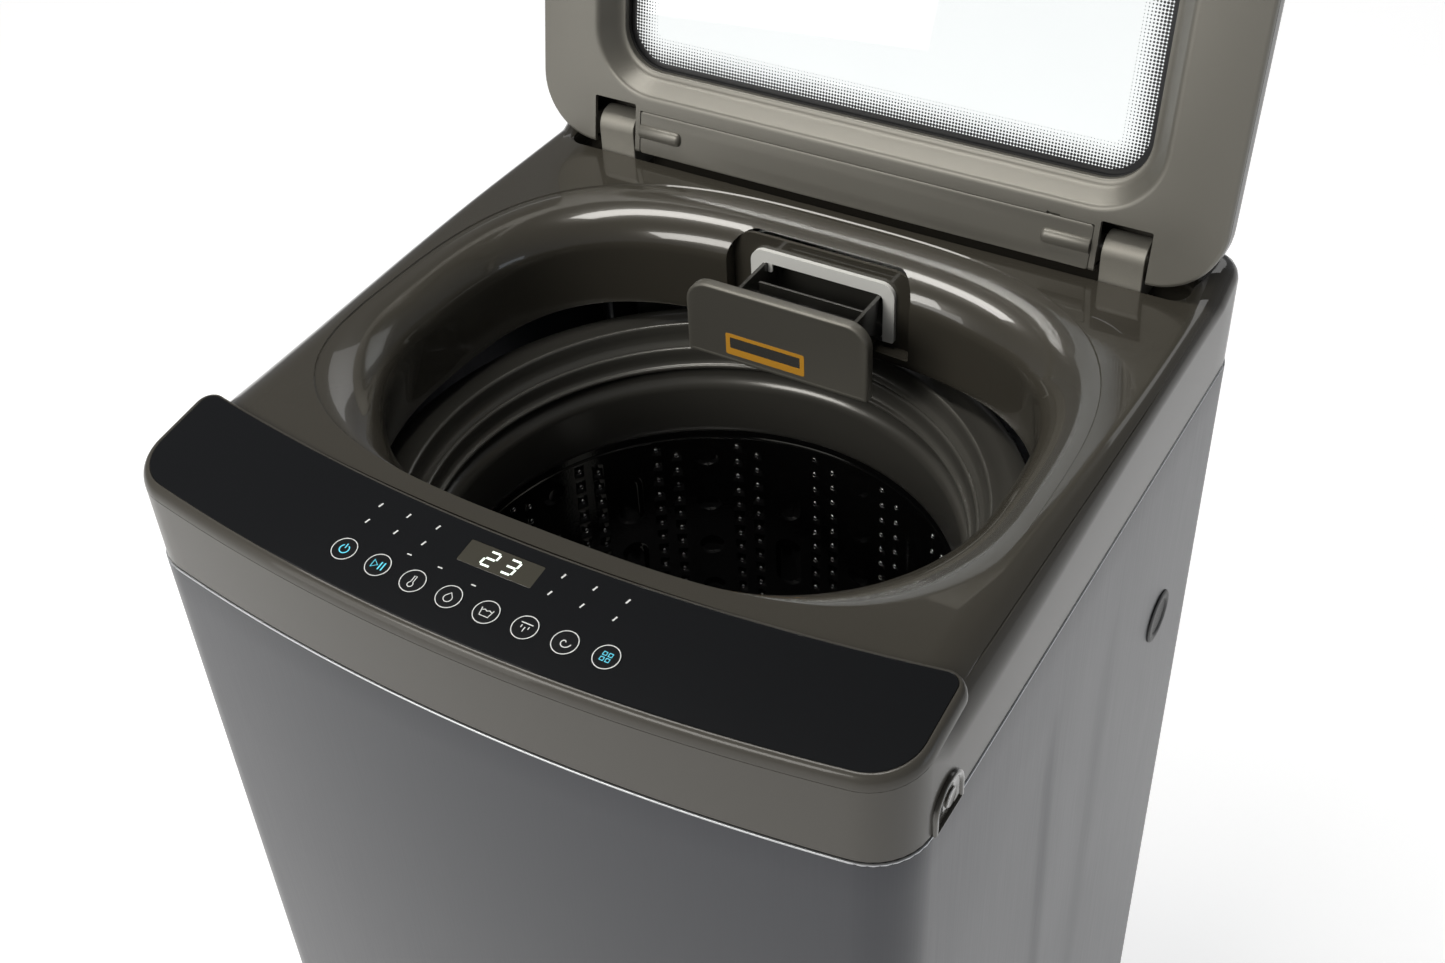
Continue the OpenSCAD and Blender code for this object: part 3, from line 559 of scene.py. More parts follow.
PULSE = finish("pulsator_plastic", (0.055, 0.056, 0.06), 0.3, coat=0.4, coat_roughness=0.15, tint=0.12,
               spread=0.07, blotch=20, grain=1500, bump=0.06)
ALLOY = finish("cast_alloy", (0.45, 0.45, 0.46), 0.48, metallic=0.85, tint=0.12, spread=0.12, blotch=80,
               grain=900, bump=0.25)
MOTOR = finish("motor_paint", (0.1, 0.105, 0.11), 0.45, metallic=0.3, tint=0.15, spread=0.1, blotch=40,
               grain=1200, bump=0.12)
RUBBER = finish("black_rubber", (0.016, 0.016, 0.016), 0.62, tint=0.25, spread=0.12, blotch=40,
                grain=1600, bump=0.15, specular=0.3)
FRIT = finish("frit_black", (0.012, 0.012, 0.013), 0.35, tint=0.2, spread=0.05, blotch=60, grain=2000,
              bump=0.02)
ORANGE = finish("label_orange", (0.62, 0.3, 0.03), 0.45, tint=0.08, spread=0.05, blotch=120, grain=1800,
                bump=0.02)
GLASS = see_through("lid_glass", (0.93, 0.96, 0.96), 0.01, 1.0)


# ---- Top cover ----

DECK = 74
SKIRT = 0.8
SEAM_GAP = 1.2
MOUTH_X = 250
ROLL = 30
COVER_T = 2.5
TOP_COVER = ("cabinet", COVER, "cover_plastic", ["top_cover"])
GROOVE_AT = 45
GROOVE_DEPTH = 0.7
TROUGH_X = 252
TROUGH_Y = (210, 251)
TROUGH_Z = 60
RECESS_X = 75
RECESS_Z = (2, 67)
RECESS_R = 18
WASH = (0, TUB_Y)  # the upright axis of tub and basket, in plan
DECK_STEPS = (0.12, 0.27, 0.4, 0.6, 0.8, 1.0)


def ridge(y):
    """Rise of the ridge along the rear edge of the deck."""
    return 10 * smoothstep(236, 250, y)


def edge_radius(y):
    """Radius of the cover's rounded upper edge: tight beside the console, then wide, less so at the back."""
    return mix(5, mix(33, 14.3, smoothstep(-230, 140, y)), smoothstep(-238, -206, y))


def wash_bearings(*outlines):
    return bearings(outlines, WASH, 0.8)


def at_bearings(inset, angles):
    """The body's outline, moved in, where rays from the tub's axis meet it."""
    return polar(body_outline(inset), WASH, angles)


def funnel_loop(angles, turn, front, z, grow=0.0):
    """A ring of the funnel: turn runs from 0 at its mouth to 1 where the roll ends."""
    half = mix(MOUTH_X, 216, turn)
    found = []
    for a in angles:
        c, s = abs(math.cos(a)), abs(math.sin(a))
        behind = math.sin(a) > 0
        deep = mix(223, 178, turn) if behind else front
        power = mix(3, 3.2 if behind else 2, turn)
        reach = ((c / half) ** power + (s / deep) ** power) ** (-1 / power) + grow
        found.append((reach * math.cos(a), TUB_Y + reach * math.sin(a), SEAM + z))
    return found


def funnel_loops(angles, grow=0.0, low=-3):
    """The roll and the wall of the funnel, moved out by grow, from the mouth down."""
    loops = []
    for i in range(15):
        u = i / 14
        turn = math.sin(math.pi / 2 * u)
        fall = math.cos(math.pi / 2 * u)
        loops.append(funnel_loop(angles, turn, mix(161, 169, u),
                                 DECK - 1 - ROLL * (1 - fall) - grow * fall, grow * turn))
    for i in range(1, 11):
        z = mix(DECK - 1 - ROLL, low, i / 10)
        front = 169 + 42 * smoothstep(DECK - 1 - ROLL, -3, z)
        loops.append(funnel_loop(angles, 1, front, z, grow))
    return loops


def recess_outline(grow=0.0):
    """The drawer's recess seen from the front, as (x, z) with the lower corners square."""
    low, high = SEAM + RECESS_Z[0] - grow, SEAM + RECESS_Z[1] + grow
    return rounded(-RECESS_X - grow, low, RECESS_X + grow, high, [1, 1, RECESS_R + grow, RECESS_R + grow])


def along_y(outline, *depths):
    """An (x, z) outline carried through depths in y."""
    return loft([[(x, y, z) for x, z in outline] for y in depths])


def edge_loops(angles, thick=0.0):
    """The cover's side and its rounded upper edge, up to the deck, moved in by a thickness."""
    outer, inset = (at_bearings(w, angles) for w in (SKIRT, SKIRT + 13))

    def ring(degrees, sink=None):
        c, s = math.cos(math.radians(degrees)), math.sin(math.radians(degrees))
        loop = []
        for p, q in zip(outer, inset):
            r = edge_radius(p[1])
            groove = thick + (sink(p) if sink else 0)
            inward = (r * (1 - c) + groove * c) / 13
            loop.append((mix(p[0], q[0], inward), mix(p[1], q[1], inward),
                         SEAM + DECK + ridge(p[1]) - r * (1 - s) - groove * s))
        return loop

    def line(p):
        """Depth of the fine line scribed along the side's rounded edge."""
        along = smoothstep(-166, -156, p[1]) * smoothstep(122, 96, p[1])
        return GROOVE_DEPTH * along if abs(p[0]) > CORNER_X else 0
    loops = [ring(a) for a in range(0, 43, 6)]
    if not thick:
        loops += [ring(GROOVE_AT - 1.3), ring(GROOVE_AT, line), ring(GROOVE_AT + 1.3)]
    return loops + [ring(a) for a in range(48, 91, 6)]


def deck_loops(angles, crease, sink=0.0):
    """The deck between the end of the rounded edge and the funnel's mouth, lowered by sink."""
    mouth = funnel_loop(angles, 0, 161, 0, 0.7)
    loops = []
    for t in DECK_STEPS:
        loops.append([(mix(p[0], q[0], t), mix(p[1], q[1], t),
                       SEAM + DECK + ridge(mix(p[1], q[1], t)) - sink) for p, q in zip(crease, mouth)])
    return loops


def console_cut():
    """Everything above the console's parting plane, out past the body's front and sides."""
    return loft([console_loop(SKIRT - 0.4, 0.2, 12.4, CONSOLE_PART + 0.3),
                 console_loop(SKIRT - 0.4, 0.2, 12.4, -60)])


def build_top_cover():
    """The cover in two pieces that part along the scribed line: its sides, and its deck and funnel."""
    angles = wash_bearings(body_outline(), arc(*WASH, 200, -180, 180, 160))
    outer, lining = edge_loops(angles), edge_loops(angles, 2.8)
    split, behind = 10, 8
    lip = [funnel_loop(angles, 1, 211, z, grow) for z, grow in
           ((-4.1, 0.35), (-4.7, 1.0), (-4.7, 1.7), (-4.1, 2.2))]
    step, inner = (at_bearings(w, angles) for w in (SKIRT + 1.2, SKIRT + 2.8))
    foot = [level(inner, SEAM + 0.2), level(step, SEAM + 0.2), level(step, SEAM + SEAM_GAP),
            level(at_bearings(SKIRT + 0.3, angles), SEAM + SEAM_GAP),
            level(at_bearings(SKIRT, angles), SEAM + SEAM_GAP + 0.3)]
    sides = solid("top_cover_sides", loft(foot + outer[:split] + lining[:behind][::-1], ring=True))
    carve(sides, console_cut())
    piece(sides, "cabinet", SIDE_COVER, "cover_plastic", ["top_cover"], sharp=28)
    loops = (outer[split - 1:] + deck_loops(angles, outer[-1]) + funnel_loops(angles) + lip
             + funnel_loops(angles, COVER_T)[::-1] + deck_loops(angles, outer[-1], 2.8)[::-1]
             + lining[behind - 1:][::-1])
    trough = rounded(-TROUGH_X, TROUGH_Y[0], TROUGH_X, TROUGH_Y[1], 12)
    deck = solid("top_cover_deck", loft(loops, ring=True))
    carve(deck, console_cut(), slab(trough, SEAM + TROUGH_Z, SEAM + 130),
          along_y(recess_outline(), 60, 208))
    piece(deck, *TOP_COVER, sharp=28)


def build_trough():
    """The channel behind the deck that the lid's rear edge swings into."""
    def ring(grow, z):
        shape = rounded(-TROUGH_X - grow, TROUGH_Y[0] - grow, TROUGH_X + grow, TROUGH_Y[1] + grow, 12 + grow)
        if z is not None:
            return level(shape, z)
        return [(x, y, SEAM + DECK - 2.9 + ridge(y)) for x, y in shape]
    floor = SEAM + TROUGH_Z
    loops = [ring(-3, floor), ring(-1.2, floor + 0.3), ring(-0.2, floor + 1.2), ring(0, floor + 3),
             ring(0, None), ring(2.4, None), ring(2.4, floor - 2.4)]
    make("hinge_trough", loft(loops), *TOP_COVER)


GUIDE_Y = (164, 167.4)
GUIDE_HW = 59
GUIDE_TOP = 56.5
GUIDE_HOLE = (50, 46.4)


def build_recess():
    """The lining of the drawer's recess, cut off by the funnel, its end wall and the white guide frame."""
    end = GUIDE_Y[1] + 2.6
    rings = [(0, 120), (0, end), (2.2, end), (2.2, 120)]
    loops = [[(x, y, z) for x, z in recess_outline(grow)] for grow, y in rings]
    lining = solid("drawer_recess_lining", loft(loops, ring=True))
    angles = wash_bearings(arc(*WASH, 200, -180, 180, 160))
    carve(lining, loft(funnel_loops(angles, COVER_T + 0.1, -12)))
    piece(lining, *TOP_COVER, sharp=40)
    low = SEAM + RECESS_Z[0]
    half, top = GUIDE_HOLE
    hole = along_y(rounded(-half, low - 20, half, SEAM + top, [1, 1, 5, 5]), 150, 190)
    wall = solid("drawer_recess_wall", along_y(recess_outline(-0.1), GUIDE_Y[1] + 0.1, end))
    carve(wall, hole)
    piece(wall, *TOP_COVER, sharp=40)
    frame_face = solid("drawer_guide_frame", along_y(
        rounded(-GUIDE_HW, low + 5, GUIDE_HW, SEAM + GUIDE_TOP, [2, 2, 11, 11]), *GUIDE_Y))
    carve(frame_face, hole)
    prong = along_y(rounded(3.5 - half, SEAM + top - 9, 8 - half, SEAM + top + 2, 1.5), GUIDE_Y[1] - 1.2,
                    GUIDE_Y[1] - 0.1)
    carve(frame_face, prong, how="UNION")
    piece(frame_face, "cabinet", WHITE, "white_plastic", ["detergent_housing"], bevel=0.6)


# ---- Console ----

CONSOLE_MID_Y = -196
CONSOLE_SAG = 23
CONSOLE_PART = 8.6
CONSOLE_HW = HALF_W - 6
CONSOLE_R = (CONSOLE_HW ** 2 + CONSOLE_SAG ** 2) / (2 * CONSOLE_SAG)
CONSOLE_Y = CONSOLE_MID_Y + CONSOLE_R
PANEL_Y = 4.3 - HALF_D
PANEL_Z = 63.3
PANEL_TILT = math.radians(8.7)
PANEL_EDGE = (6.7, 3.3, 7.5)
KEY_Y = -249.5
KEY_PITCH = 26.6
KEY_SHIFT = -5.5
KEY_BOW = 1500
KEY_R = 8.6
KEYS = ("key_power", "key_start", "key_temperature", "key_water", "key_soak", "key_rinse", "key_spin",
        "key_mode")
WINDOW_AT = (-5.5, -216.5)
WINDOW_SIZE = (53, 17)


def console_outline(inset, gap, corner):
    """Plan of the console: the body's outline moved in, closed by its concave rear edge."""
    reach = CONSOLE_R + gap
    fillet_x = HALF_W - inset - corner
    fillet_y = CONSOLE_Y - math.sqrt((reach + corner) ** 2 - fillet_x ** 2)
    meet = math.degrees(math.atan2(CONSOLE_Y - fillet_y, -fillet_x))
    rear = math.degrees(math.asin(fillet_x / (reach + corner)))
    front, left = front_arcs(inset)
    return distinct(
        front
        + arc(fillet_x, fillet_y, corner, 0, meet, 8)
        + arc(0, CONSOLE_Y, reach, -90 + rear, -90 - rear, 48)
        + arc(-fillet_x, fillet_y, corner, 180 - meet, 180, 8)
        + left)


def console_loop(inset, gap, corner, drop):
    """The console's outline on a slope that lies a drop below the panel's face."""
    slope = math.tan(PANEL_TILT)
    return [(x, y, SEAM + PANEL_Z + (y - PANEL_Y) * slope - drop)
            for x, y in console_outline(inset, gap, corner)]


def on_panel(x, depth, up=0.0):
    """A point over the panel, from its distance up the slope behind the panel's front edge."""
    c, s = math.cos(PANEL_TILT), math.sin(PANEL_TILT)
    return (x, PANEL_Y + depth * c - up * s, SEAM + PANEL_Z + depth * s + up * c)


def panel_depth(y):
    return (y - PANEL_Y) / math.cos(PANEL_TILT)


def on_panel_at(geometry, x, y):
    """Geometry drawn flat about a point of the panel, laid on its slope."""
    start = panel_depth(y)
    return [on_panel(x + px, start + py, pz) for px, py, pz in geometry[0]], geometry[1]


def key_place(i):
    x = (i - (len(KEYS) - 1) / 2) * KEY_PITCH + KEY_SHIFT
    return x, KEY_Y + KEY_BOW - math.sqrt(KEY_BOW ** 2 - x ** 2)


def build_bezel():
    """The band round the panel: a rounded shoulder that rises from the parting to a fine bead."""
    loops = []
    for a in range(0, 91, 10):
        out, up = 1 - math.cos(math.radians(a)), 1 - math.sin(math.radians(a))
        loops.append(console_loop(SKIRT + 0.1 + 4.9 * out, 0.4 + 2.1 * out, mix(12, 9, out),
                                  0.2 + (CONSOLE_PART - 0.2) * up))
    loops += [console_loop(6.3, 2.9, 7.8, 0.2), console_loop(6.5, 3.1, 7.6, 0.5),
              console_loop(6.5, 3.1, 7.6, 3.4), console_loop(11, 6, 7, 3.5),
              console_loop(11, 6, 7, CONSOLE_PART + 5), console_loop(5, 3, 10, CONSOLE_PART + 5),
              console_loop(SKIRT + 2.1, 1.4, 11, CONSOLE_PART)]
    make("console_band", loft(loops, ring=True), "cabinet", SIDE_COVER, "cover_plastic", ["console_bezel"],
         sharp=30)


def build_panel():
    loops = [console_loop(*PANEL_EDGE, 3.2), console_loop(*PANEL_EDGE, 0.4),
             console_loop(PANEL_EDGE[0] + 0.15, PANEL_EDGE[1] + 0.15, PANEL_EDGE[2], 0.12),
             console_loop(PANEL_EDGE[0] + 0.45, PANEL_EDGE[1] + 0.45, PANEL_EDGE[2], 0)]
    panel = solid("control_panel_glass", loft(loops))
    holes = [on_panel_at(lathe([(KEY_R + 0.35, -9), (KEY_R + 0.35, 9)], n=48, ring=False), *key_place(i))
             for i in range(len(KEYS))]
    w, h = (size / 2 for size in WINDOW_SIZE)
    carve(panel, joined(*holes), on_panel_at(slab(rounded(-w, -h, w, h, 1.2), -9, 9), *WINDOW_AT))
    piece(panel, "cabinet", PANEL, "panel_black", ["control_panel"], sharp=10)


def stroke(points, width, low, high, closed=False):
    """A flat raised line of a given width along (x, y) points."""
    section = [(-width / 2, low), (width / 2, low), (width / 2, high), (-width / 2, high)]
    return sweep([(x, y, 0) for x, y in points], section, closed)


def printed(drawing):
    return [stroke(points, width, 0.02, 0.12, closed) for points, width, closed in drawing]


def circle_line(x, y, r, width, n=32):
    return arc(x, y, r, 0, 360, n)[:-1], width, True


def drop_outline(x, y, size):
    tip = [(x, y + size * 1.5)]
    return tip + arc(x, y, size, 150, 390, 12), 0.55, True


KEY_SIGNS = {
    "key_power": [(arc(0, 0, 3.1, 122, 418, 22), 0.75, False), ([(0, 0.6), (0, 4.1)], 0.75, False)],
    "key_start": [([(-4, -2.7), (-4, 2.7), (-0.2, 0)], 0.7, True), ([(1.5, -2.9), (1.5, 2.9)], 0.9, False),
                  ([(3.8, -2.9), (3.8, 2.9)], 0.9, False)],
    "key_temperature": [([(-0.8, -1), (-0.8, 3.6), (0.8, 3.6), (0.8, -1)], 0.55, False),
                        (arc(0, -2.6, 1.8, 118, 422, 16), 0.55, False)],
    "key_water": [drop_outline(0, -1, 2.7)],
    "key_soak": [([(-4, 2.4), (-3, -3), (3, -3), (4, 2.4)], 0.6, False),
                 ([(-3.2, 0.8), (-1.6, 1.6), (0, 0.8), (1.6, 1.6), (3.2, 0.8)], 0.55, False)],
    "key_rinse": [([(-4, 2.8), (4, 2.8)], 0.7, False), ([(-2.4, 1.2), (-2.4, -0.8)], 0.6, False),
                  ([(0, 0.2), (0, -3.2)], 0.6, False), ([(2.4, 1.2), (2.4, -0.8)], 0.6, False)],
    "key_spin": [([(0.35 * k * math.cos(k * 0.52), 0.35 * k * math.sin(k * 0.52)) for k in range(1, 13)],
                  0.6, False)],
    "key_mode": [([(-3, 0.7), (-3, 3), (-0.7, 3), (-0.7, 0.7)], 0.6, True),
                 ([(0.7, 0.7), (0.7, 3), (3, 3), (3, 0.7)], 0.6, True),
                 ([(-3, -3), (-3, -0.7), (-0.7, -0.7), (-0.7, -3)], 0.6, True),
                 ([(0.7, -3), (0.7, -0.7), (3, -0.7), (3, -3)], 0.6, True)],
}
BLUE_KEYS = ("key_power", "key_start", "key_mode")


def build_keys():
    for i, name in enumerate(KEYS):
        profile = [(KEY_R, -4), (KEY_R, -0.15), (KEY_R - 0.15, 0.08), (KEY_R - 0.5, 0.18), (0.01, 0.2)]
        cap = lathe(profile, n=48, ring=False)
        stem = moved(lathe([(2, -3.2), (2, 3)], n=24, ring=False), z=-5)
        place = key_place(i)
        make(name + "_cap", on_panel_at(joined(cap, stem), *place), name, KEY, "panel_black", [name],
             sharp=10)
        ring = moved(joined(*printed([circle_line(0, 0, 8.0, 0.55, 48)])), z=0.18)
        make(name + "_ring", on_panel_at(ring, *place), name, PRINT, "panel_black", [name])
        sign = moved(joined(*printed(KEY_SIGNS[name])), z=0.18)
        ink = PRINT_BLUE if name in BLUE_KEYS else PRINT
        make(name + "_sign", on_panel_at(sign, *place), name, ink, "panel_black", [name])


BARS = ((-99.6, -209.5), (-78.3, -209.5), (-56.2, -209.5), (-99.5, -223), (-77.9, -223), (-56.9, -223),
        (34, -209.3), (55.6, -209.3), (77.9, -209.3), (33.5, -222.8), (55.5, -222.8), (77.7, -222.8))
DIGIT_SEGMENTS = {"2": "abged", "3": "abgcd"}


def digit(text, x):
    """The lit bars of a seven segment digit, leaning to the right."""
    w, h, lean = 3.7, 5.2, 0.14
    corner = {"tl": (-w, h), "tr": (w, h), "ml": (-w, 0), "mr": (w, 0), "bl": (-w, -h), "br": (w, -h)}
    ends = {"a": ("tl", "tr"), "b": ("tr", "mr"), "c": ("mr", "br"), "d": ("bl", "br"),
            "e": ("ml", "bl"), "f": ("tl", "ml"), "g": ("ml", "mr")}
    bars = []
    for name in DIGIT_SEGMENTS[text]:
        (ax, ay), (bx, by) = (corner[key] for key in ends[name])
        line = [(x + mix(ax, bx, t) + lean * mix(ay, by, t), mix(ay, by, t)) for t in (0.1, 0.9)]
        bars.append(stroke(line, 1.35, -0.05, 0.06))
    return bars


def build_display():
    w, h = (size / 2 - 0.1 for size in WINDOW_SIZE)
    pane = slab(rounded(-w, -h, w, h, 1.1), -2.2, -0.12)
    make("display_pane", on_panel_at(pane, *WINDOW_AT), "cabinet", WINDOW, "window_smoke",
         ["display_window"], bevel=0.2)
    make("display_digits", on_panel_at(joined(*digit("2", -7.2), *digit("3", 7.4)), *WINDOW_AT),
         "cabinet", DIGIT, "window_smoke", ["display_window"])
    slanted = [on_panel_at(joined(*printed([([(-0.5, -1.7), (0.5, 1.7)], 1.1, False)])), *place)
               for place in BARS]
    flat = [on_panel_at(joined(*printed([([(-1.6, 0), (1.6, 0)], 0.8, False)])), *place)
            for place in ((-59.5, -233.5), (-36.5, -234), (-10.5, -236.5))]
    make("console_marks", joined(*slanted, *flat), "cabinet", PRINT, "panel_black", ["control_panel"])


# ---- Lid, drawn closed about its hinge axis ----

LID_LEN = 420
LID_HW = HALF_W - 2
LID_BACK = 14
LID_REAR_R = 48
LID_FRONT_R = 20
LID_TOP = 16
LID_LOW = -15
LID_PART = -11.5
LID_BOW_R = CONSOLE_R + 2
LID_MIDDLE = (0, -200)
WINDOW_HW = 222
WINDOW_Y = (62 - LID_LEN, -33)
WINDOW_R = 46
HINGE_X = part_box("hinge_brackets")[1].x / MM - 15.5
NOTCH = 18.5


def lid_outline(inset=0.0):
    front = -LID_LEN
    return distinct(
        arc(LID_HW - LID_REAR_R, LID_BACK - LID_REAR_R, LID_REAR_R - inset, 0, 90, 16)
        + arc(LID_REAR_R - LID_HW, LID_BACK - LID_REAR_R, LID_REAR_R - inset, 90, 180, 16)
        + arc(LID_FRONT_R - LID_HW, front + CONSOLE_SAG + 18, LID_FRONT_R - inset, 180, 264, 10)
        + arc(0, front + LID_BOW_R, LID_BOW_R - inset, 265.8, 274.2, 24)
        + arc(LID_HW - LID_FRONT_R, front + CONSOLE_SAG + 18, LID_FRONT_R - inset, -84, 0, 10))


def window_outline(inset=0.0):
    return rounded(inset - WINDOW_HW, WINDOW_Y[0] + inset, WINDOW_HW - inset, WINDOW_Y[1] - inset,
                   WINDOW_R - inset, 16)


def lid_angles():
    return bearings([lid_outline(), window_outline(), arc(*LID_MIDDLE, 200, -180, 180, 72)], LID_MIDDLE, 0.5)


def steps(kind, *pairs):
    """Steps of a section, each an inset from the lid's or the window's outline and a height."""
    return [(kind, inset, z) for inset, z in pairs]


def lid_loops(section):
    """Loops for the (kind, inset, height) steps of a section round the lid's opening."""
    angles = lid_angles()
    shapes = {"lid": lid_outline, "window": window_outline}
    return [level(polar(shapes[kind](inset), LID_MIDDLE, angles), z) for kind, inset, z in section]


def notch(side, z0, z1, y0=-24.0, grow=0.0):
    x0 = side * HINGE_X - NOTCH - grow
    return slab(rounded(x0, y0, x0 + 2 * (NOTCH + grow), 40, 1.5, 4), z0, z1)


def build_lid_frame():
    section = steps("lid", (0.2, LID_PART), (0.2, -12.6), (0.7, -13.9), (1.6, -14.7), (3, LID_LOW))
    section += steps("window", (-4.5, LID_LOW), (-2.4, -14.75), (-0.7, -14.0), (0.6, -12.6), (7.5, -3),
                     (9.3, -0.8), (11.2, 0.6), (13.2, 1.0), (13.7, 1.5), (13.8, 5.8), (0, 5.8), (-3, -11.3))
    rim = solid("lid_inner_rim", loft(lid_loops(section), ring=True), at_lid)
    strip_x = HINGE_X - 22.5
    cuts = [notch(side, -20, 9) for side in (-1, 1)]
    seat = slab([(-strip_x, -20), (strip_x, -20), (strip_x, 30), (-strip_x, 30)], -20, -11.4)
    latch = block((148, -21.6, -20), (158, -19, -12.5))
    carve(rim, *cuts, seat, latch, place=at_lid)
    piece(rim, "lid", SATIN, "satin_plastic", ["lid_inner_frame"], sharp=30)
    ears = []
    for side in (-1, 1):
        for x in (HINGE_X - 22.5, HINGE_X + NOTCH):
            profile = arc(0, 0, 9, 180, 0, 20) + [(9, -12.4), (-9, -12.4)]
            low = x if side > 0 else -x - 4
            ears.append(stand(slab(profile, low, low + 4), axis="x"))
    make("lid_hinge_ears", joined(*ears), "lid", SATIN, "satin_plastic", ["lid_inner_frame"], at_lid,
         bevel=0.4)


def build_lid_shell():
    roll = []
    for a in range(0, 91, 10):
        out, up = 1 - math.cos(math.radians(a)), math.sin(math.radians(a))
        roll.append(("lid", 0.1 + 15 * out, -1.5 + (LID_TOP + 1.5) * up))
    section = (steps("lid", (0.5, -11.1), (0.1, -10.7), (0.1, -6)) + roll
               + steps("window", (-4, LID_TOP), (-1, 15.8), (3, 14.9), (5.5, 13.8), (7, 13.6), (7, 13.35),
                       (-4, 12.9))
               + steps("lid", (14, 12.6), (4, 8), (3, -2), (3, -11.1)))
    top = solid("lid_outer_shell", loft(lid_loops(section), ring=True), at_lid)
    cuts = [notch(side, -20, LID_TOP - 2) for side in (-1, 1)]
    back = [notch(side, -20, 40, 1) for side in (-1, 1)]
    carve(top, *cuts, *back, place=at_lid)
    piece(top, "lid", SIDE_COVER, "cover_plastic", ["lid_shell"], sharp=30)


def build_glass():
    outer, inner = window_outline(8), window_outline(8.4)
    pane = loft([level(inner, 9.4), level(outer, 9.8), level(outer, 12.9), level(inner, 13.3)])
    make("lid_pane", pane, "lid", GLASS, "lid_glass", ["lid_glass"], at_lid)
    section = steps("window", (5, 6), (14, 6), (14.6, 7.5), (14, 9.3), (5, 9.3))
    make("lid_seal", loft(lid_loops(section), ring=True), "lid", RUBBER, "black_rubber", ["lid_gasket"],
         at_lid)


def inside_window(x, y):
    """Distance from a point in to the window's edge."""
    dx = abs(x) - (WINDOW_HW - WINDOW_R)
    middle = (WINDOW_Y[0] + WINDOW_Y[1]) / 2
    dy = abs(y - middle) - ((WINDOW_Y[1] - WINDOW_Y[0]) / 2 - WINDOW_R)
    return WINDOW_R - math.hypot(max(dx, 0), max(dy, 0)) - min(max(dx, dy), 0)


def build_frit():
    """The baked black edge of the glass: a solid band that breaks up into shrinking dots."""
    section = steps("window", (8.6, 9.36), (18.5, 9.36), (18.5, 9.3), (8.6, 9.3))
    band = loft(lid_loops(section), ring=True)
    pitch = 2.4
    dots = []
    columns = round(WINDOW_HW / pitch)
    rows = round((WINDOW_Y[1] - WINDOW_Y[0]) / pitch)
    for i in range(-columns, columns + 1):
        for j in range(rows + 1):
            x, y = i * pitch, WINDOW_Y[0] + j * pitch
            depth = inside_window(x, y)
            if 17.5 < depth < 38:
                r = mix(1.32, 0.28, (depth - 17.5) / 20.5)
                dots.append(slab(arc(x, y, r, 0, 360, 8)[:-1], 9.31, 9.37))
    make("glass_frit", joined(band, *dots), "lid", FRIT, "lid_glass", ["lid_glass"], at_lid)


BUMP_Y = -4


def build_strip():
    """The cover strip between the hinges, with the two bumps over the dampers."""
    x, y0, y1 = HINGE_X - 22.8, -19.7, 13.5
    rim = [(rounded(-x, y0, x, y1, 2.5, 5), -12.2), (rounded(-x, y0, x, y1, 2.5, 5), -14.3),
           (rounded(0.35 - x, y0 + 0.35, x - 0.35, y1 - 0.35, 2.2, 5), -14.8),
           (rounded(0.9 - x, y0 + 0.9, x - 0.9, y1 - 0.9, 1.8, 5), LID_LOW)]
    plate = solid("hinge_cover_strip", loft([level(outline, z) for outline, z in rim]), at_lid)
    bumps = []
    for side in (-1, 1):
        end, length = side * (HINGE_X - 23.2), -side * 36
        loops = []
        for t, size in ((0, 0.93), (0.02, 1), (0.9, 1), (0.95, 0.93), (0.98, 0.75), (1, 0.45)):
            turn = [math.pi * i / 14 for i in range(15)]
            loops.append([(end + length * t, BUMP_Y + 5.6 * size * math.cos(a),
                           -14.4 - 4.2 * size * math.sin(a)) for a in turn])
        bumps.append(loft(loops))
    carve(plate, *bumps, how="UNION", place=at_lid)
    piece(plate, "lid", SATIN, "satin_plastic", ["hinge_strip"], sharp=35)


def build_knuckles():
    posts = []
    fall = HINGE_UP - TROUGH_Z
    for side in (-1, 1):
        profile = (arc(0, 0, 13.5, 0, 180, 28)
                   + [(-13.5, 4 - fall), (-15.5, 0.1 - fall), (15.5, 0.1 - fall), (13.5, 4 - fall)])
        post = stand(slab(profile, side * HINGE_X - 15.5, side * HINGE_X + 15.5), axis="x")
        posts.append(moved(post, 0, HINGE_Y, SEAM + HINGE_UP))
    obj = solid("hinge_knuckles", joined(*posts))
    carve(obj, *[rod(4.15, side * HINGE_X - 30, side * HINGE_X + 30, (0, HINGE_Y, SEAM + HINGE_UP), "x", 28)
                 for side in (-1, 1)])
    piece(obj, "cabinet", KNUCKLE, "satin_plastic", ["hinge_brackets"], bevel=0.7, segments=3)
    pins = [spun([(r, side * HINGE_X + x) for r, x in ((3.2, -22), (4, -21.2), (4, 21.2), (3.2, 22))],
                 axis="x", n=28) for side in (-1, 1)]
    make("hinge_pin_pair", joined(*pins), "lid", BRIGHT, "zinc_steel", ["hinge_pins"], at_lid)


# ---- Detergent drawer ----

DRAWER_OUT = JOINTS["drawer_slide"]["range_m"][1] / MM
DRAWER_Y = 155 - DRAWER_OUT
DRAWER_HW = 73
DRAWER_Z = (4, 65)


def drawer_outline(grow=0.0):
    low, high = SEAM + DRAWER_Z[0] - grow, SEAM + DRAWER_Z[1] + grow
    r = 18 + grow
    return rounded(-DRAWER_HW - grow, low, DRAWER_HW + grow, high, [2 + grow, 2 + grow, r, r], 10)


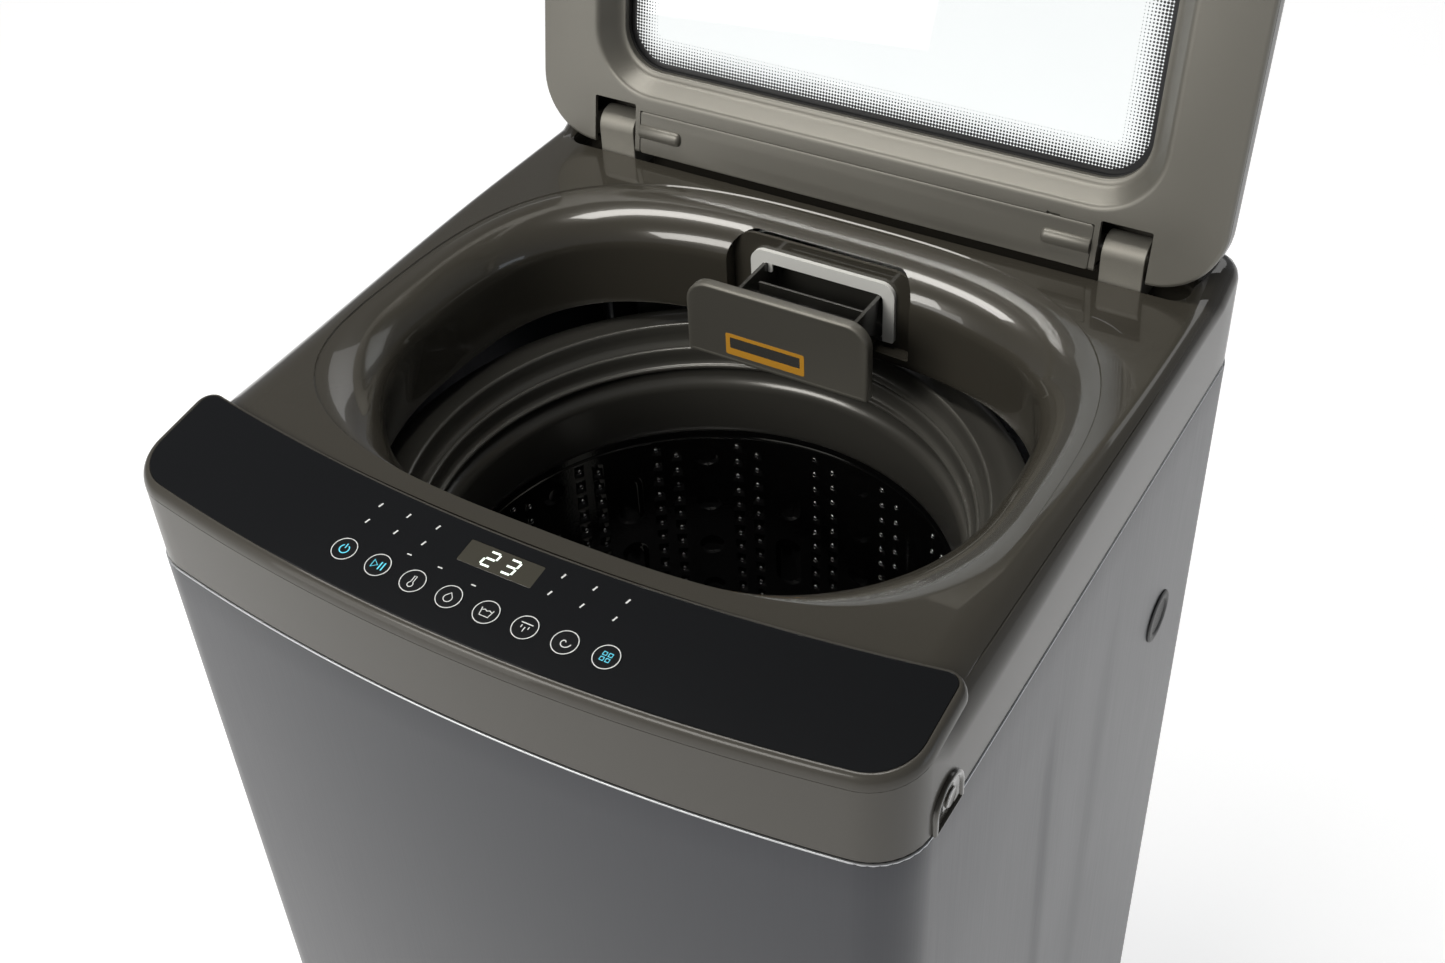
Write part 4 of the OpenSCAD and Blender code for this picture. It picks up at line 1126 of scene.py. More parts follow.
def build_drawer_front():
    """A plate with a softly rounded face and a lighter raised edge."""
    steps = [(-0.2, 8), (0, 7.6), (0, 1.4), (-0.5, 0.45), (-1.3, 0), (-2.6, 0.05), (-3.4, 0.3)]
    loops = [[(x, DRAWER_Y + y, z) for x, z in drawer_outline(grow)] for grow, y in steps]
    make("drawer_plate", loft(loops), "drawer", SATIN, "satin_plastic", ["drawer_front"], sharp=35)

    def face(outline, y0, y1):
        return along_y([(-9 + x, SEAM + 19.5 + z) for x, z in outline], DRAWER_Y + y0, DRAWER_Y + y1)
    band = solid("drawer_label_frame", face(rounded(-32, -9, 32, 9, 1.5), 0.12, 0.29))
    carve(band, face(rounded(-28.5, -3.2, 28.5, 6, 0.5), -1, 1))
    piece(band, "drawer", ORANGE, "satin_plastic", ["drawer_front"])
    middle = face(rounded(-28.4, -3.1, 28.4, 5.9, 0.5), 0.16, 0.29)
    make("drawer_label_middle", middle, "drawer", RIM, "satin_plastic", ["drawer_front"])


TRAY_HW = 48.6
TRAY_TOP = 45.8


def build_drawer_tray():
    def ring(grow, z, r=3.0):
        half = TRAY_HW - 0.9 + grow
        return level(rounded(-half, DRAWER_Y + 8, half, DRAWER_Y + 90 + grow, r), SEAM + z)
    top = TRAY_TOP
    loops = [ring(-2, 8), ring(-0.6, 8.3), ring(0, 9.5), ring(0, top - 1.5), ring(0.9, top - 1),
             ring(0.9, top), ring(-1.8, top), ring(-2, top - 0.8), ring(-2, 11.2, 4), ring(-4, 10, 5)]
    piece(solid("drawer_tray_tub", loft(loops)), "drawer", DARK_PLASTIC, "base_plastic", ["drawer_tray"],
          sharp=35, bevel=0.25)


def build_siphon():
    """The rear cross wall, the divider with a scalloped edge in front of it, its shelf and the siphon."""
    half = TRAY_HW - 3
    y = DRAWER_Y + 32
    crest = []
    for k in range(49):
        x = mix(half, -half, k / 48)
        lobes = smoothstep(7, 12, abs(x)) * smoothstep(half + 6, half - 10, abs(x))
        crest.append((x, SEAM + 30 + 7 * lobes))
    wall = loft([[(x, depth, z) for x, z in [(-half, SEAM + 10.3), (half, SEAM + 10.3)] + crest]
                 for depth in (y, y + 1.6)])
    rear = joined(block((-half, y + 15, SEAM + 10.4), (half, y + 17, SEAM + 35)),
                  block((6 - half, y + 15.1, SEAM + 35.1), (half, y + 16.9, SEAM + TRAY_TOP - 1.4)))
    shelf = block((-9, y + 1.5, SEAM + 31), (9, y + 15.1, SEAM + 33))
    post = lathe([(7, SEAM + 10.3), (7, SEAM + 24), (5.5, SEAM + 26), (3.5, SEAM + 26.2), (3.2, SEAM + 20),
                  (0.02, SEAM + 20)], (0, y + 36), 40, ring=False)
    make("siphon_parts", joined(wall, rear, shelf, post), "drawer", DARK_PLASTIC, "base_plastic",
         ["siphon_insert"], bevel=0.3)


def build_housing():
    """The white box that the drawer runs into."""
    def section(grow):
        low, mid = SEAM + 3 - grow, SEAM + 50 + grow
        r = 14 + grow
        return ([(-67 - grow, low), (67 + grow, low), (67 + grow, mid)]
                + [(53 + x, mid - r + 12.5 + z) for x, z in arc(0, 0, r, 0, 90, 10)]
                + [(x - 53, mid - r + 12.5 + z) for x, z in arc(0, 0, r, 90, 180, 10)]
                + [(-67 - grow, mid)])
    loops = [[(x, y, z) for x, z in section(grow)] for grow, y in
             ((0, 183), (0, 199), (-2.5, 199), (-2.5, 183))]
    front = loft(loops, ring=True)
    box = joined(block((-70, 199.2, SEAM + 3), (70, 258, SEAM + 5.5)),
                 block((-70, 199.2, SEAM + 5.6), (-67.5, 258, SEAM + 50)),
                 block((67.5, 199.2, SEAM + 5.6), (70, 258, SEAM + 50)),
                 block((-67.4, 255.5, SEAM + 5.6), (67.4, 258, SEAM + 50)),
                 block((-70, 199.2, SEAM + 50.1), (70, 258, SEAM + 52)))
    make("drawer_housing_parts", joined(front, box), "cabinet", WHITE, "white_plastic",
         ["detergent_housing"], bevel=0.3)


# ---- Tub ----

BASKET_R = 187
BASKET_TOP = SEAM - 112
BASKET_LOW = BASKET_TOP - 400
PULSATOR_R = 162
OUTER_TUB = ("tub", TUB_GREY, "tub_plastic", ["outer_tub"])


def raised(profile):
    """A profile of (radius, height above the seam), in heights above the floor."""
    return [(r, SEAM + z) for r, z in profile]


def bead(r, z, size, a0, a1, n=6):
    """A rounded rib in a profile of (radius, height above the seam)."""
    return arc(r, z, size, a0, a1, n)


def build_tub_cover():
    profile = ([(228.6, -49.5), (231, -49.5), (231, -25), (229.5, -23.6), (216, -20.6), (206.5, -20.3)]
               + bead(201.7, -19.6, 2.3, 90, 170)
               + [(198.9, -24), (198.3, -30), (196.5, -33.2), (194.6, -34.2)]
               + bead(193.4, -36.6, 1.9, 60, 170) + [(191.2, -40), (191.1, -45), (189.9, -47.6)]
               + bead(188.5, -50, 1.7, 75, 250, 8)
               + [(190.2, -51.5), (193.3, -48), (194.4, -38), (201, -33), (202.3, -23), (216, -23.2),
                  (222, -27), (224, -35.6), (228.6, -35.6)])
    make("tub_cover_ring", lathe(raised(profile), WASH, 160), "tub", RING, "ring_plastic", ["tub_cover"],
         sharp=50)
    clips = []
    for k in range(8):
        clip = block((229, TUB_Y - 9, SEAM - 47), (232.5, TUB_Y + 9, SEAM - 33))
        clips.append(turned(clip, 22.5 + 45 * k, WASH))
    make("tub_cover_clips", joined(*clips), "tub", RING, "ring_plastic", ["tub_cover"], bevel=0.6)


def build_tub():
    low = BASKET_LOW - SEAM - 38
    profile = [(36, low), (196, low), (200, low + 1.2), (226, low + 27), (228, low + 32), (228, -140),
               (228, -60), (228, -50), (230.6, -49.6), (230.6, -44), (225, -43), (225, -60), (225, low + 34),
               (223.5, low + 30), (198, low + 5), (194, low + 4), (36, low + 4)]
    wall = lathe(raised(profile), WASH, 128)
    ribs = []
    for z in (-110, -200, -290, -380, -470):
        rib = [(227.5, z), (231.5, z + 0.6), (231.5, z + 3.4), (227.5, z + 4)]
        ribs.append(lathe(raised(rib), WASH, 128))
    for k in range(16):
        rib = block((227.3, TUB_Y - 1.5, SEAM - 480), (230.5, TUB_Y + 1.5, SEAM - 60))
        ribs.append(turned(rib, 22.5 * k + 4, WASH))
    tub = solid("tub_shell", wall)
    carve(tub, rod(16, BASKET_LOW - 60, BASKET_LOW, (*DRAIN, 0), n=40))
    piece(tub, *OUTER_TUB, sharp=35)
    make("tub_ribs", joined(*ribs), *OUTER_TUB, sharp=35)
    lugs = []
    for x, y in RODS_AT:
        away = math.hypot(x, y - TUB_Y)
        angle = math.degrees(math.atan2(y - TUB_Y, x))
        outline = ([(226.8, 21), (226.8, -21), (away - 4, -15)] + arc(away, 0, 15, -70, 70, 12)
                   + [(away - 4, 15)])
        arm = slab([(px, TUB_Y + py) for px, py in outline], 421, 434)
        web = slab([(226.8, TUB_Y - 2), (away - 14, TUB_Y - 2), (away - 14, TUB_Y + 2), (226.8, TUB_Y + 2)],
                   434.05, 452)
        lug = solid("lug", turned(joined(arm, web), angle, WASH))
        carve(lug, rod(5.3, 400, 470, (x, y, 0), n=28))
        lugs.append(lug)
    gather("tub_lugs", lugs, *OUTER_TUB, bevel=1.0)


def gather(name, objects, body, material, slot, stands_for, **shading):
    """Several objects as one piece."""
    work = bmesh.new()
    for obj in objects:
        work.from_mesh(obj.data)
        bpy.data.objects.remove(obj)
    mesh = bpy.data.meshes.new(name)
    work.to_mesh(mesh)
    work.free()
    return piece(linked(name, mesh), body, material, slot, stands_for, **shading)


# ---- Basket and pulsator ----

def build_balance_ring():
    profile = ([(187, -112), (185.2, -109), (184.1, -104)]
               + bead(196, -70, 12.4, 180, 90, 10) + bead(203, -70, 12.4, 90, 0, 10)
               + [(215.4, -100), (213.5, -106), (205, -111.8)])
    make("balance_ring_body", lathe(raised(profile), WASH, 160), "basket", RING, "ring_plastic",
         ["balance_ring"], sharp=50)


SECTORS = 18
HOLE_ROWS = 52
WALL = ("basket", BASKET, "basket_steel", ["basket_wall"])
SECTOR_LEN = 2 * math.pi * BASKET_R / SECTORS
ROW_H = (BASKET_TOP - BASKET_LOW) / HOLE_ROWS


HOLE_X = 24.6


def hole_places():
    """Sector, side and lower row of every hole, two staggered columns to a sector."""
    return [(sector, side, row) for sector in range(SECTORS) for side, start in ((-1, 1), (1, 2))
            for row in range(start, HOLE_ROWS - 2, 2)]


def on_wall(x, z, r):
    """A point of the basket at a distance x round its wall, a height and a radius."""
    a = x / BASKET_R
    return (r * math.cos(a), TUB_Y + r * math.sin(a), z)


def perforated_wall():
    """The basket's sheet: paired columns of holes with drawn rims, staggered by half a pitch."""
    half = SECTOR_LEN / 2
    columns = [-half, -29.6, -HOLE_X, -19.6, -10, 0, 10, 19.6, HOLE_X, 29.6]
    count = len(columns)
    total = SECTORS * count
    points, faces = [], []

    def add(x, z, r):
        points.append(on_wall(x, BASKET_LOW + z, r))
        return len(points) - 1

    radii = (BASKET_R, BASKET_R + 0.9)
    grid = [[[add(s * SECTOR_LEN + x, row * ROW_H, r) for s in range(SECTORS) for x in columns]
             for row in range(HOLE_ROWS + 1)] for r in radii]

    def ring(x, z, r, size):
        return [add(x + size * math.cos(a), z + size * math.sin(a), r)
                for a in (math.radians(-135 + 45 * k) for k in range(8))]

    holes = set()
    for sector, place, row in hole_places():
        first = 1 if place < 0 else 7
        c = [(sector * count + first + k) % total for k in range(3)]
        holes.update((c[k], row + m) for k in (0, 1) for m in (0, 1))
        x, z = sector * SECTOR_LEN + columns[first + 1], (row + 1) * ROW_H
        rims = []
        for side, (grown, sizes) in enumerate(zip(grid, ((3.3, 2.5, 1.75), (3.0, 2.4, 1.75)))):
            lift = -1 if side == 0 else 0
            corners = [(0, 0), (0, 1), (0, 2), (1, 2), (2, 2), (2, 1), (2, 0), (1, 0)]
            rings = [[grown[row + down][c[over]] for down, over in corners]]
            rings += [ring(x, z, radii[side] + lift * up, size) for size, up in zip(sizes, (0, 0.5, 0.35))]
            for a, b in zip(rings, rings[1:]):
                faces.extend((a[k], a[(k + 1) % 8], b[(k + 1) % 8], b[k]) for k in range(8))
            rims.append(rings[-1])
        inner, outer = rims
        faces.extend((inner[k], inner[(k + 1) % 8], outer[(k + 1) % 8], outer[k]) for k in range(8))
    for side in grid:
        for row in range(HOLE_ROWS):
            for c in range(total):
                if (c, row) not in holes:
                    faces.append((side[row][c], side[row][(c + 1) % total],
                                  side[row + 1][(c + 1) % total], side[row + 1][c]))
    for row in (0, HOLE_ROWS):
        for c in range(total):
            d = (c + 1) % total
            faces.append((grid[0][row][c], grid[0][row][d], grid[1][row][d], grid[1][row][c]))
    return points, faces


def hole_lips():
    """A fine raised lip round each hole of the basket. It catches real light, and its bright plain steel,
    used in place of the basket's dark steel, paints glints on the holes' rims.
    """
    lips = []
    section = [(1.9, 0.2), (2.35, 1.0), (1.75, 1.45), (1.3, 0.9)]
    for sector, side, row in hole_places():
        a = (sector * SECTOR_LEN + side * HOLE_X) / BASKET_R
        z = BASKET_LOW + (row + 1) * ROW_H
        loops = []
        for size, up in section:
            r = BASKET_R - up
            loops.append([(r * math.cos(a + size * math.cos(t) / BASKET_R),
                           TUB_Y + r * math.sin(a + size * math.cos(t) / BASKET_R),
                           z + size * math.sin(t)) for t in (math.pi / 4 * k for k in range(8))])
        lips.append(loft(loops, ring=True))
    return joined(*lips)


def emboss(x, z, half_w, half_h, rise):
    """A pad pressed out of the basket's wall: a capsule, or a dome where its halves are equal."""
    loops = []
    for k in range(6):
        t = k / 5
        up = rise * smoothstep(0, 1, t) - 0.15
        w = half_w - half_w * 0.55 * t
        straight = half_h - half_w
        outline = arc(0, straight, w, 0, 180, 12) + arc(0, -straight, w, 180, 360, 12)
        r = BASKET_R - up
        outline = outline if straight > 0 else distinct(outline)
        loops.append([on_wall(x + px, z + pz, r) for px, pz in outline])
    return loft(loops)


def build_basket():
    make("basket_sheet", perforated_wall(), *WALL, sharp=45)
    # The lips take bright plain steel unlike the dark basket wall: painted glints on the holes' rims.
    make("basket_hole_glint_lips", hole_lips(), "basket", BRIGHT, "plain_steel", ["basket_wall"], sharp=80)
    pads = []
    for s in range(SECTORS):
        x = s * SECTOR_LEN
        if s % 2:
            pads += [emboss(x, BASKET_LOW + 50 + 72 * k, 12.5, 27, 1.9) for k in range(5)]
        else:
            pads += [emboss(x, BASKET_LOW + 38 + 48 * k, 11.5, 11.5, 1.7) for k in range(8)]
    make("basket_embossing", joined(*pads), *WALL, sharp=60)
    hems = [lathe([(BASKET_R - 0.6, z), (BASKET_R - 1.2, z + 1), (BASKET_R - 0.6, z + 2),
                   (BASKET_R + 0.4, z + 2), (BASKET_R + 0.4, z)], WASH, 128)
            for z in (BASKET_LOW + 3, BASKET_TOP - 8)]
    make("basket_hems", joined(*hems), *WALL, sharp=50)


def build_pulsator():
    low = BASKET_LOW
    r = PULSATOR_R
    n = 144
    profile = [(r - 6, 2.2), (r - 1, 4.5), (r, 8), (r - 0.8, 13), (r - 3.5, 16), (r - 12, 15.6),
               (r * 0.82, 14.6), (r * 0.66, 16), (r * 0.5, 18.6), (r * 0.36, 22), (r * 0.26, 26),
               (r * 0.2, 28.5), (14, 29.6), (13.1, 29), (13.1, 19.4)]
    loops = []
    for radius, height in profile:
        loop = []
        for k in range(n):
            a = 2 * math.pi * k / n
            wave = 1.5 * math.cos(6 * a) * smoothstep(30, 70, radius) * smoothstep(r - 2, r - 24, radius)
            loop.append((radius * math.cos(a), TUB_Y + radius * math.sin(a), low + height - wave))
        loops.append(loop)
    loops = [[(x, y, low + 2) for x, y, z in loops[0]]] + loops
    disc = loft(loops)
    vanes = []
    for k in range(6):
        spine = []
        for i in range(13):
            t = i / 12
            x = mix(36, r - 16, t)
            swing = 7 * math.sin(math.pi * t)
            spine.append((x, swing, mix(42, 21, smoothstep(0, 1, t)), mix(6.5, 9, t)))
        loops = []
        for x, swing, top, w in spine:
            loops.append([(x, TUB_Y + swing + w * side, low + z) for side, z in
                          ((-1.35, 8), (-0.95, top * 0.6), (-0.6, top - 2), (-0.25, top - 0.3),
                           (0.25, top - 0.3), (0.6, top - 2), (0.95, top * 0.6), (1.35, 8))])
        vanes.append(turned(loft(loops), 60 * k, WASH))
    hub = lathe([(26, low + 20), (25, low + 28), (21, low + 33), (16, low + 34.5), (13.2, low + 34),
                 (13.2, low + 20)], WASH, 72)
    make("pulsator_disc", joined(disc, hub), "pulsator", PULSE, "pulsator_plastic", ["pulsator"], sharp=40)
    make("pulsator_vanes", joined(*vanes), "pulsator", PULSE, "pulsator_plastic", ["pulsator"], sharp=60)


DARK_PLASTIC = finish("drawer_plastic", (0.035, 0.034, 0.03), 0.24, metallic=0.2, coat=0.5,
                      coat_roughness=0.12, tint=0.15, spread=0.06, blotch=40, grain=1400, bump=0.05)


# ---- Cabinet ----

SHEET = 0.8
PLUG_AT = (0, 180, SEAM - 182)
GLAND_AT = (170, 0, 640)
LOUVRES = [(x, 520 + 22 * row) for x in (-90, 90) for row in range(6)]
BACK_X = HALF_W - REAR_R - 12
BASE_H = 66
FOOT_X = 215
FOOT_Y = -210
REAR_FOOT_Y = 235
DRAIN = (130, 80)
DRAIN_Z = 110
INLETS = ((-100, 0, SEAM + 36), (-60, 0, SEAM + 36))
RODS_AT = ((-225, -215), (225, -215), (225, 205), (-225, 205))


def cabinet_path():
    """The body's outline from the right end of the open back, round the front, to the left end."""
    outline = dense(body_outline(), 6)
    rear = [p for p in outline if p[1] > HALF_D - 1e-3 and abs(p[0]) < BACK_X]
    path = [p for p in outline if p not in rear]
    start = max(range(len(path)), key=lambda i: (path[i][1] > HALF_D - 1e-3, path[i][0] > 0, -path[i][0]))
    path = path[start:] + path[:start]
    if path[1][0] < path[0][0]:
        path = [path[0]] + path[:0:-1]
    return [(BACK_X, HALF_D)] + path + [(-BACK_X, HALF_D)]


def pressing(x, y, z):
    """Depth of the soft creases pressed into each side of the cabinet."""
    if abs(x) < HALF_W - 0.01:
        return 0.0
    lean = (SEAM - 84 - z) / 153 * 10
    front = smoothstep(-190, -50, y) * smoothstep(-33 + lean, -44 + lean, y)
    rear = 0.7 * smoothstep(-20, 50, y) * smoothstep(84, 56, y)
    ends = smoothstep(BASE + 60, BASE + 110, z), smoothstep(SEAM - 60, SEAM - 170, z)
    return 1.7 * max(front, rear) * ends[0] * ends[1]


def build_cabinet():
    path = cabinet_path()
    heights = [BASE, BASE + 0.6, BASE + 40, BASE + 58, BASE + 63, BASE + 68, BASE + 73, BASE + 78]
    heights += [mix(BASE + 100, SEAM - 90, k / 12) for k in range(13)]
    heights += [SEAM - 75, SEAM - 60, SEAM - 45, SEAM - 30, SEAM - 2, SEAM - 0.7, SEAM - 0.1]
    middle = np.array([0, TUB_Y])

    def sheet(inset):
        base = [tuple(p) for p in path]
        inner = polar(dense(body_outline(inset), 6), (0, TUB_Y),
                      [math.atan2(p[1] - TUB_Y, p[0]) for p in base]) if inset else base
        rows = []
        for z in heights:
            edge = 0.5 if z > SEAM - 0.5 else 0.15 if z > SEAM - 1 else 0.0
            row = []
            for p, q in zip(base, inner):
                depth = pressing(*p, z) + (edge if not inset else 0)
                away = middle - np.array(p)
                away = away / np.linalg.norm(away)
                if abs(p[0]) > HALF_W - 0.01:
                    away = np.array([-np.sign(p[0]), 0])
                row.append((q[0] + away[0] * depth, q[1] + away[1] * depth, z))
            rows.append(row)
        return rows
    cabinet = solid("cabinet_sheet", shell(sheet(0), sheet(SHEET)))
    for side in (-1, 1):
        carve(cabinet, rod(18, side * HALF_W - 10, side * HALF_W + 10, PLUG_AT, "x"))
    piece(cabinet, "cabinet", STEEL, "cabinet_steel", ["cabinet_wrap"], sharp=25)
    angles = wash_bearings(body_outline(1.0))
    outer, inner = (at_bearings(w, angles) for w in (1.0, 14))
    flange = loft([level(outer, SEAM - 1.6), level(outer, SEAM - 0.8), level(inner, SEAM - 0.8),
                   level(inner, SEAM - 1.6)], ring=True)
    make("cabinet_flange", flange, "cabinet", STEEL, "cabinet_steel", ["cabinet_wrap"])


def build_seam_bead():
    """The folded top edge of the steel sheet, a fine bright line under the cover. Its rounded edge catches
    real light, and bright bare zinc, used in place of the sheet's dark paint, paints in the rest of the
    highlight.
    """
    angles = wash_bearings(body_outline())
    section = ((0.1, -1.3), (0.0, -0.9), (0.05, -0.3), (0.5, 0.0), (1.4, 0.0), (1.4, -1.3))
    loops = [level(at_bearings(w, angles), SEAM + z) for w, z in section]
    # Bright zinc instead of the cabinet's dark paint: a painted highlight along the seam.
    make("cabinet_folded_edge_highlight", loft(loops, ring=True), "cabinet", ZINC, "zinc_steel", ["cabinet_wrap"],
         sharp=60)


def build_side_details():
    covers, plugs = [], []
    for side in (-1, 1):
        steps = [(0, -1), (0, 0.9), (-0.5, 1.6), (-1.4, 2.0), (-2.6, 1.9), (-3.6, 1.2), (-4, 0.5), (-10, 0.4),
                 (-10.4, 0.1), (-11.5, 0.0)]
        loops = []
        for grow, out in steps:
            r = 18 + grow
            low = min(4.0, -grow) * 0.25
            outline = [(-r, low)] + [(r, low)] + arc(0, 12, r, 0, 180, 28)
            loops.append([(side * (HALF_W + out), -205.5 + y, SEAM + 0.4 + z) for y, z in outline])
        covers.append(loft(loops))
        disc = [(r, side * (HALF_W + out)) for r, out in
                ((6.4, -0.3), (6.4, 0.7), (5.8, 1.1), (5.2, 0.8), (0.02, 0.6))]
        covers.append(spun(disc, (0, -203, SEAM + 12), "x", 36))
        rings = [(21, 0.05), (21, 0.9), (20.2, 1.7), (18.8, 2.0), (15.5, 2.0), (14.6, 1.3), (13.8, 0.6),
                 (0.02, 0.5)]
        plugs.append(spun([(r, side * (HALF_W + out)) for r, out in rings], PLUG_AT, "x", 56))
        plugs.append(rod(17.8, side * (HALF_W - 6), side * (HALF_W + 0.04), PLUG_AT, "x", 56))
    make("side_cover_pair", joined(*covers), "cabinet", COVER, "cover_plastic", ["side_screw_covers"],
         sharp=40)
    make("side_plug_pair", joined(*plugs), "cabinet", DARK, "base_plastic", ["cabinet_plugs"], sharp=40)


def build_back():
    x, low, high = HALF_W - REAR_R - 2, BASE + BASE_H, SEAM - 6
    front, back = HALF_D - 2 * SHEET, HALF_D - SHEET
    sheet = solid("back_sheet", along_y(rounded(-x, low, x, high, 6), front, back))
    slots = [along_y(rounded(x0 - 55, z - 3.5, x0 + 55, z + 3.5, 3.4), 250, 300) for x0, z in LOUVRES]
    gland = rod(10.2, 250, 300, GLAND_AT, "y", 40)
    drain = rod(19, 250, 300, (DRAIN[0], 0, DRAIN_Z), "y")
    carve(sheet, joined(*slots), gland, drain)
    piece(sheet, "cabinet", ZINC, "zinc_steel", ["back_panel"], sharp=30, bevel=0.15, segments=1)
    beads = []
    for z in (200, 300, 720, 780):
        rib = []
        for grow, out in ((0, -0.05), (-1, 0.35), (-2.4, 0.7), (-4, 0.75)):
            outline = rounded(-190 - grow, z - 6 - grow, 190 + grow, z + 6 + grow, max(6 + grow, 1.6))
            rib.append([(px, back + out, pz) for px, pz in outline])
        beads.append(loft(rib))
    hoods = []
    for x0, z in LOUVRES:
        section = [(back - 0.05, z + 3.4), (back - 0.05, z + 5.6), (back + 0.7, z + 3.2),
                   (back + 0.75, z - 1.2), (back + 0.3, z - 1.2), (back + 0.25, z + 2.6)]
        hoods.append(loft([[(px, y, pz) for y, pz in section] for px in (x0 - 53, x0 + 53)]))
    make("back_pressings", joined(*beads, *hoods), "cabinet", ZINC, "zinc_steel", ["back_panel"], sharp=40)
    make("valve_cover_plate", valve_plate(), "cabinet", SATIN, "satin_plastic", ["rear_cover"], bevel=0.5)


def geometry_of(obj):
    """An object's mesh as geometry in machine millimetres; the object itself goes."""
    points = [(v.co.x / MM, (v.co.y - BODY_Y) / MM, v.co.z / MM) for v in obj.data.vertices]
    faces = [tuple(face.vertices) for face in obj.data.polygons]
    bpy.data.objects.remove(obj)
    return points, faces


def valve_plate():
    plate = solid("plate", along_y(rounded(-130, SEAM + 6, 130, SEAM + 62, 4), HALF_D - 2.8, HALF_D - 0.1))
    return geometry_of(carve(plate, *[rod(15.2, 250, 300, at, "y") for at in INLETS]))


def build_screws():
    """Screws with a cross in a washer faced head."""
    places = [(x, z) for x in (-243, 243) for z in (100, 335, 570, 805)]
    places += [(x, SEAM + z) for x in (-122, 122) for z in (14, 54)]
    head = solid("head", spun([(4.4, -0.1), (4.4, 0.5), (3.6, 0.6), (3.4, 1.4), (2.6, 2.1), (1.2, 2.35),
                               (0.02, 2.4)], axis="y", n=32))
    carve(head, stand(block((-2, -0.35, 1.2), (2, 0.35, 4))), stand(block((-0.35, -2, 1.2), (0.35, 2, 4))))
    head = geometry_of(head)
    heads = [moved(head, x, HALF_D, z) for x, z in places]
    make("back_screws", joined(*heads), "cabinet", ZINC, "zinc_steel", ["panel_screws"], sharp=35)


def build_inlets():
    """The valves' threaded stubs and the bodies behind the rear cover."""
    parts = []
    for x, _, z in INLETS:
        profile = [(11.4, 270), (12.4, 277.4), (12.4, 281)]
        for k in range(6):
            y = 281.6 + 2.2 * k
            profile += [(12.2, y), (13.15, y + 0.8), (13.15, y + 1.2), (12.2, y + 2.0)]
        profile += [(12.4, 295.2), (11.6, 296), (8.6, 296), (8, 295.4), (8, 284), (0.02, 284)]
        parts.append(spun(profile, (x, 0, z), "y", 56))
        body = loft([[(x + px, y, z - 4 + pz) for px, pz in rounded(-15 - g, -18 - g, 15 + g, 18 + g, 5)]
                     for y, g in ((259, -0.8), (260, 0), (274.5, 0), (276.6, -0.8))])
        parts.append(body)
        for w, h in ((0.8, 7.9), (7.9, 0.8)):
            parts.append(moved(stand(block((-w, -h, 285), (w, h, 286.5))), x, 0, z))
    make("inlet_valve_pair", joined(*parts), "cabinet", WHITE, "white_plastic", ["inlet_valves"], sharp=45)


def build_gland():
    profile = [(4.1, HALF_D - 8), (9.4, HALF_D - 8), (10, HALF_D - 7), (10, HALF_D - 0.4),
               (13.4, HALF_D + 0.05), (14, HALF_D + 0.8), (13.8, HALF_D + 2.4), (12.8, HALF_D + 3),
               (10, HALF_D + 3.1), (9.6, HALF_D + 3.8), (8.8, HALF_D + 4), (4.8, HALF_D + 4),
               (4.1, HALF_D + 3.4)]
    ring = spun(profile, GLAND_AT, "y", ring=True)
    make("cord_gland_ring", ring, "cabinet", RUBBER, "black_rubber", ["cord_gland"], sharp=45)


def build_drain():
    """The bellows and the elbow that ends in a ribbed spigot at the back."""
    x, y = DRAIN
    profile = [(13, 222), (13, 138), (15.6, 138)]
    for k in range(14):
        z = 138 + 6 * k
        r = (16, 20)[k % 2]
        q = (20, 16)[k % 2]
        profile += [(mix(r, q, smoothstep(0, 1, t)), z + 6 * t) for t in (0.25, 0.5, 0.75, 1.0)]
    bellows = moved(lathe(profile, n=64), x, y)
    make("drain_bellows_tube", bellows, "cabinet", RUBBER, "black_rubber", ["drain_bellows"], sharp=60)
    cup = spun([(15.5, 92), (17, 93.5), (17, 137), (16, 138), (12.6, 138), (12, 137), (12, 96), (0.02, 96)],
               (x, y, 0), n=56)
    end = HALF_D + 25 - y
    spigot = [(0.02, 3), (15, 3), (15, end - 20)]
    for k in range(3):
        start = end - 19 + 6 * k
        spigot += [(14.3, start), (15, start + 3.8), (14.3, start + 4.4)]
    spigot += [(14.2, end - 0.4), (13.6, end), (11.4, end), (11, end - 0.5), (11, end - 40), (0.02, end - 40)]
    spout = spun(spigot, (x, y, DRAIN_Z), "y", 56)
    back = HALF_D - 2 * SHEET
    rim = [(15.2, back - 3), (23.4, back - 3), (24, back - 2.4), (24, back - 0.1), (15.2, back - 0.1)]
    flange = spun(rim, (x, 0, DRAIN_Z), "y", 56, ring=True)
    make("drain_elbow_body", joined(cup, spout, flange), "cabinet", PULSE, "base_plastic", ["drain_elbow"],
         sharp=40)


# ---- Base, feet and suspension ----

